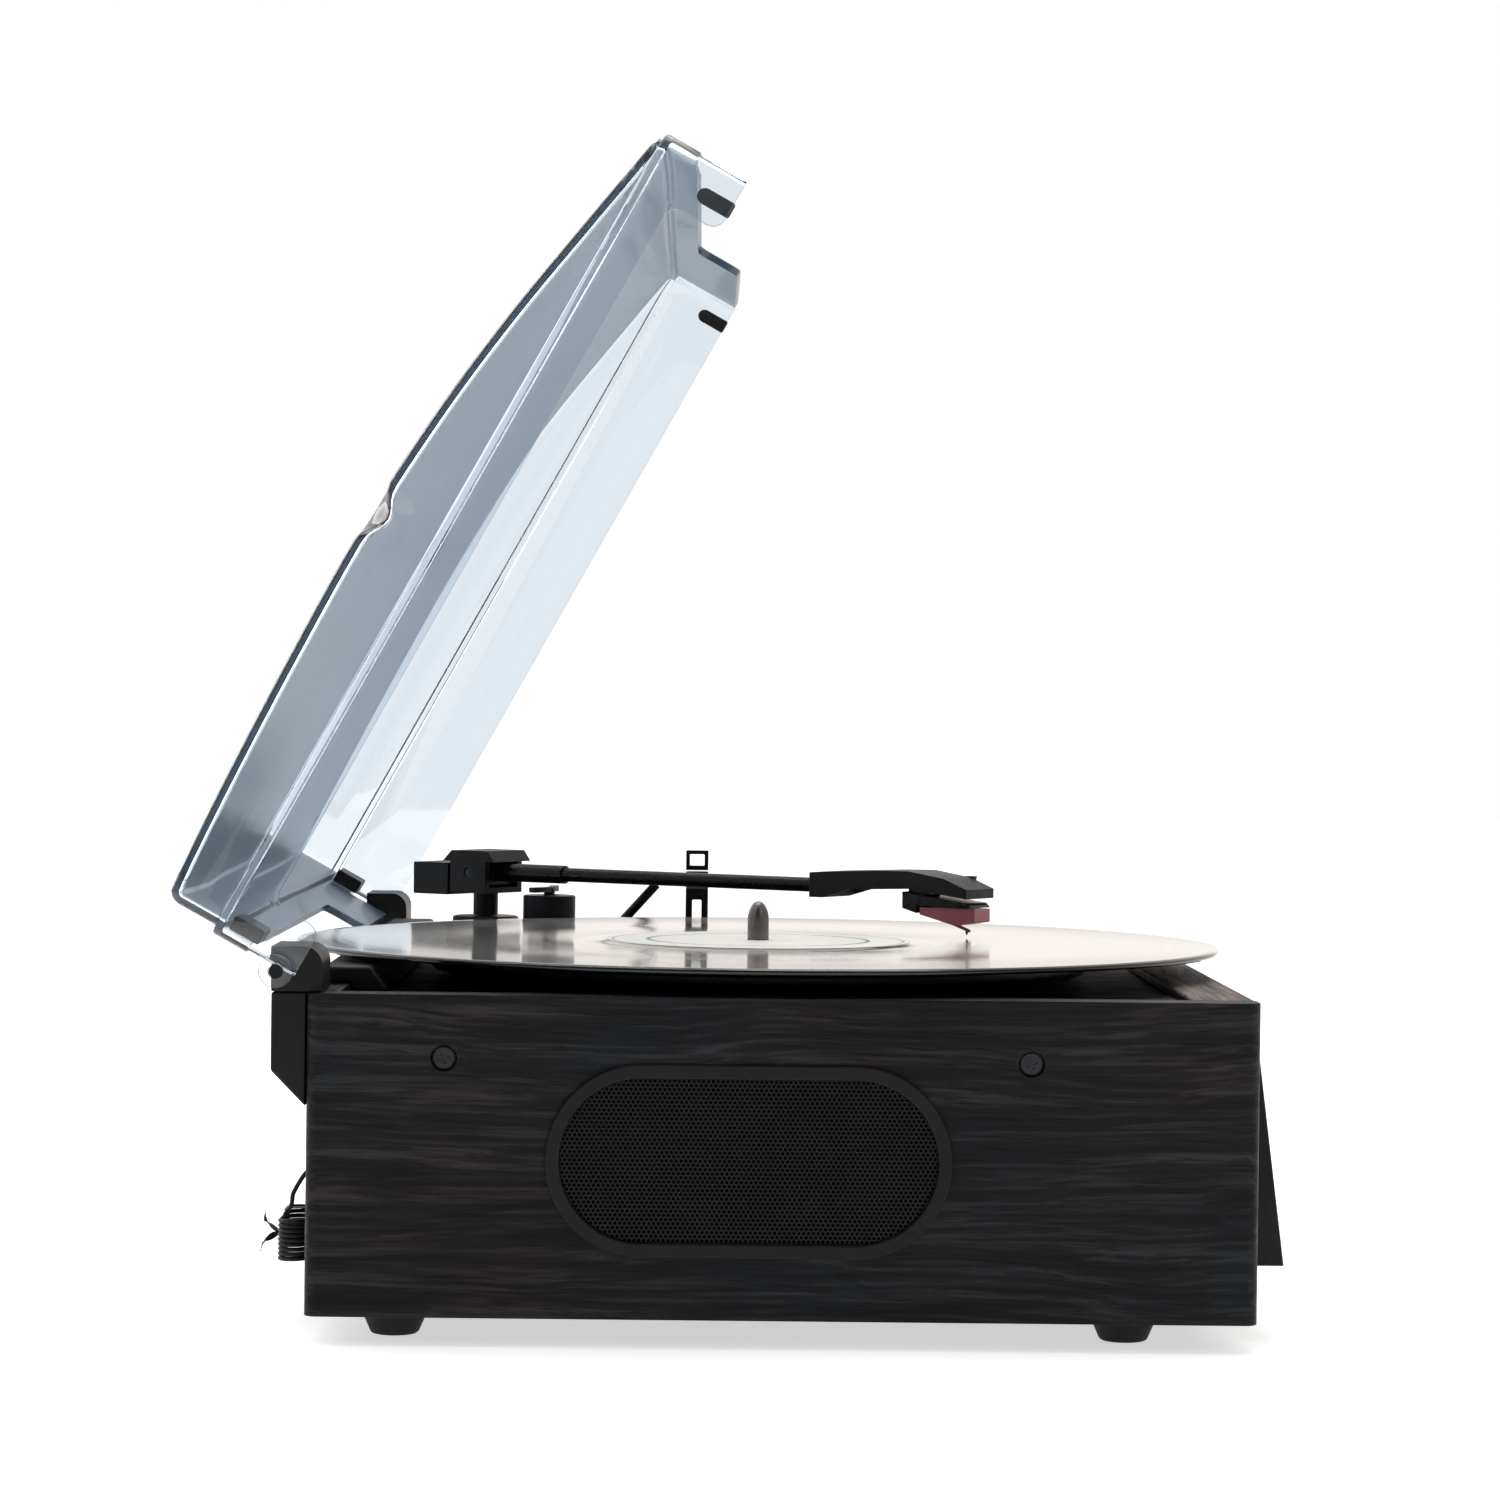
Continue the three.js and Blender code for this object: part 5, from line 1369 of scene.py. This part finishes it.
        def level(outline: list[tuple[float, float, str]],
                  up_at: Callable[..., float]) -> None:
            """Add a ring whose height is worked out point by point."""
            ring = []
            for (x, u, side), (ox, ou, _) in zip(outline, names):
                ring.append((x, u, up_at(x, u, side, ox, ou)))
            rings.append(ring)

        level(plan[0], lambda x, u, s, ox, ou: self.rim + self.eased(ox, ou, s, True))
        level(plan[0], lambda x, u, s, ox, ou: self.notch_top + self.eased(ox, ou, s, False))
        skirt = self.skirt_top - skin
        level(plan[0], lambda *_: skirt - 0.8)
        level(self.ring(skin + 0.25), lambda *_: skirt - 0.22)
        level(self.ring(skin + 0.8), lambda *_: skirt)
        level(self.ring(lip - 0.5), lambda *_: skirt + 0.05)
        level(self.ring(lip - 0.1), lambda *_: skirt + 0.35)
        level(plan[1], lambda *_: skirt + 0.9)

        def top(u: float) -> float:
            """Height of this face's top at a distance from the hinge line."""
            return self.height(u) - skin

        level(plan[1], lambda x, u, *_: (skirt + 0.9 + top(u) - fillet) / 2
              if top(u) - fillet > skirt + 1.0 else skirt + 0.95)
        for step in range(0, 6):
            angle = math.radians(90.0 * step / 5)
            inset = lip + fillet * (1 - math.cos(angle))
            drop = fillet * (1 - math.sin(angle))
            level(self.ring(inset), lambda x, u, *_, d=drop: max(
                top(u) - min(d, max(top(u) - skirt - 1.2, 0.05)), skirt + 1.0))
        for inset in (lip + 7.0, lip + 11.0, lip + 16.0):
            level(self.ring(inset), lambda x, u, *_: top(u))
        return rings

    def to_frame(self, x: float, along: float, up: float) -> Point:
        """Turn a place in the lid's own frame to where it is with the lid open.

        Args:
            x: place across the lid.
            along: distance from the hinge line.
            up: height over the closed rim.

        Returns:
            The place in the object's frame, in millimetres.
        """
        turn = math.radians(self.open_angle)
        return (x, self.hinge_y - along * math.cos(turn) + up * math.sin(turn),
                self.hinge_z + along * math.sin(turn) + up * math.cos(turn))

    def shell(self) -> None:
        """Make the clear shell."""
        names = self.ring(0.0)
        count = len(names)
        cut = [self.in_notch(x, u, s) and self.in_notch(*names[(i + 1) % count])
               for i, (x, u, s) in enumerate(names)]
        points, faces, starts = [], [], []
        for inner in (False, True):
            starts.append(len(points))
            rings = self.shell_rings(inner)
            for ring in rings:
                for x, u, v in ring:
                    dx, dv = self.scoop(x, u, v)
                    points.append(self.to_frame(x + dx, u, v - dv))
        depth = len(rings)

        def corner(face: int, ring: int, column: int) -> int:
            """Number of a point."""
            return starts[face] + ring * count + column % count

        for face in (0, 1):
            for ring in range(depth - 1):
                for column in range(count):
                    if ring == 0 and cut[column]:
                        continue
                    faces.append((corner(face, ring, column), corner(face, ring, column + 1),
                                  corner(face, ring + 1, column + 1),
                                  corner(face, ring + 1, column)))
            self.cap(faces, names, lambda i, f=face: corner(f, depth - 1, i))
        for column in range(count):
            ring = 1 if cut[column] else 0
            faces.append((corner(0, ring, column), corner(0, ring, column + 1),
                          corner(1, ring, column + 1), corner(1, ring, column)))
            if cut[column] != cut[column - 1]:
                faces.append((corner(0, 0, column), corner(0, 1, column),
                              corner(1, 1, column), corner(1, 0, column)))
        piece = mesh_piece("clear_dust_lid", points, faces)
        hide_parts("dust_lid")
        dress(piece, "lid", CLEAR_LID)

    def cap(self, faces: list[tuple[int, ...]], names: list[tuple[float, float, str]],
            corner: Callable[[int], int]) -> None:
        """Close the middle of one face of the dome with strips across the lid.

        Args:
            faces: faces so far, which this adds to.
            names: the outline's points with their sides' names.
            corner: gives the number of a point of the last ring.
        """
        left = [i for i, n in enumerate(names) if n[2] == "left"]
        right = [i for i, n in enumerate(names) if n[2] == "right"][::-1]
        for step in range(len(left) - 1):
            faces.append((corner(left[step]), corner(left[step + 1]),
                          corner(right[step + 1]), corner(right[step])))
        front = list(range(left[-1], right[-1] + 1))
        faces.append(tuple(corner(i) for i in front))
        rear = list(range(right[0], len(names))) + [left[0]]
        faces.append(tuple(corner(i) for i in rear))

    def fittings(self) -> None:
        """Make the bumpers, the leaves and the hinge eyes."""
        for side, sign in (("left", -1), ("right", 1)):
            dress(softened(f"{side}_lid_bumper", 0.7, 3), "lid", RUBBER)
            dress(softened(f"{side}_hinge_leaf", 0.6, 2), "lid", BLACK_PLASTIC)
            outer = sign * self.width / 2
            ring = [(2.3, 0.0), (5.0, 0.0), (5.0, self.wall), (2.3, self.wall)]
            eye = lathe(f"{side}_hinge_eye", (outer, self.hinge_y, self.hinge_z), ring, 36,
                        (-sign, 0.0, 0.0))
            dress(eye, "lid", CLEAR_LID)

    def build(self) -> None:
        """Make the lid."""
        self.shell()
        self.fittings()
        for side in ("left", "right"):
            dress(softened(f"{side}_hinge_body", 0.7, 2), "cabinet", BLACK_PLASTIC)
            dress(softened(f"{side}_hinge_socket", 0.6, 2), "cabinet", BLACK_PLASTIC)


# ---- Tonearm and deck controls -------------------------------------------------------------


@dataclass
class Tonearm:
    """Arm on its pedestal, with head, counterweight, lift, rest and clip."""

    pieces: tuple[tuple[str, str, Finish, float], ...] = (
        ("arm_pedestal", "cabinet", BLACK_PLASTIC, 0.8),
        ("arm_yoke", "arm_turret", BLACK_PLASTIC, 0.8),
        ("arm_counterweight", "arm", BLACK_PLASTIC, 1.0),
        ("headshell", "arm", BLACK_PLASTIC, 0.5),
        ("cartridge", "arm", GLOSS_PLASTIC, 0.4),
        ("stylus", "arm", STYLUS_RED, 0.25),
        ("lift_cylinder", "cabinet", BLACK_PLASTIC, 0.6),
        ("lift_bar", "cue_lift", BLACK_PLASTIC, 0.4),
        ("cue_lever", "cue_handle", BLACK_PLASTIC, 0.5),
        ("cue_lever_mount", "cabinet", BLACK_PLASTIC, 0.6),
        ("arm_rest", "cabinet", BLACK_PLASTIC, 0.5),
        ("arm_clip", "rest_clip", BLACK_PLASTIC, 0.3),
        ("arm_tube", "arm", GLOSS_PLASTIC, 0.4))

    def build(self) -> None:
        """Make the arm, then the two deck switches."""
        for node, body, finish, width in self.pieces:
            dress(softened(node, width, 2), body, finish)
        dress_node("arm_pivot_pin", DARK_STEEL)
        for name in ("speed", "autostop"):
            dress(softened(f"{name}_switch", 0.5), f"{name}_slider", BLACK_PLASTIC)


# ---- Front console, back plate and inside --------------------------------------------------


@dataclass
class Electronics:
    """Front console with its keys, back jack plate and the board inside."""

    jacks: tuple[tuple[float, float, float, Finish], ...] = (
        (-105.0, 58.0, 4.2, JACK_WHITE), (-85.0, 58.0, 4.2, JACK_RED),
        (-65.0, 58.0, 2.8, BLACK_PLASTIC), (-47.0, 52.0, 3.0, BLACK_PLASTIC))
    plate_back: float = 128.07

    def jack(self, number: int, x: float, z: float, radius: float, finish: Finish) -> None:
        """Make one jack: a coloured collar with a plated sleeve in it.

        Args:
            number: number in the jack's name.
            x: place across the plate.
            z: height.
            radius: radius of the plate's hole.
            finish: finish of the collar.
        """
        at = (x, self.plate_back, z)
        collar = [(radius - 1.1, -4.5), (radius - 0.05, -4.5), (radius - 0.05, 0.1),
                  (radius + 1.0, 0.1), (radius + 1.0, 0.7), (radius - 0.3, 0.9),
                  (radius - 1.1, 0.9)]
        dress(lathe(f"jack_collar_{number}", at, collar, 32, (0.0, 1.0, 0.0)), "cabinet",
              finish)
        sleeve = [(radius - 1.9, -4.4), (radius - 1.15, -4.4), (radius - 1.15, 1.6),
                  (radius - 1.4, 1.8), (radius - 1.9, 1.6)]
        dress(lathe(f"jack_sleeve_{number}", at, sleeve, 32, (0.0, 1.0, 0.0)), "cabinet",
              STEEL)

    def build(self) -> None:
        """Make the console and the plate."""
        dress(softened("console_shell", 0.8, 3), "cabinet", BLACK_PLASTIC)
        dress(softened("display_window", 0.3), "cabinet", WINDOW)
        for key in ("power", "source", "tune_down", "tune_up"):
            dress(softened(f"{key}_button", 0.6, 3), f"{key}_key", GLOSS_PLASTIC)
        dress(softened("jack_plate", 0.5), "cabinet", BLACK_PLASTIC)
        for number, jack in enumerate(self.jacks, 1):
            self.jack(number, *jack)
        dress_node("circuit_board", CIRCUIT)


def main() -> None:
    """Build the record player, the camera and wire first."""
    logging.basicConfig(level=logging.INFO, format="%(name)s: %(message)s")
    Studio().build()
    AerialWire().build()
    Cabinet().build()
    Speaker("left", -1).build()
    Speaker("right", 1).build()
    Platter().build()
    DustLid().build()
    Tonearm().build()
    Electronics().build()


if __name__ == "__main__":
    main()
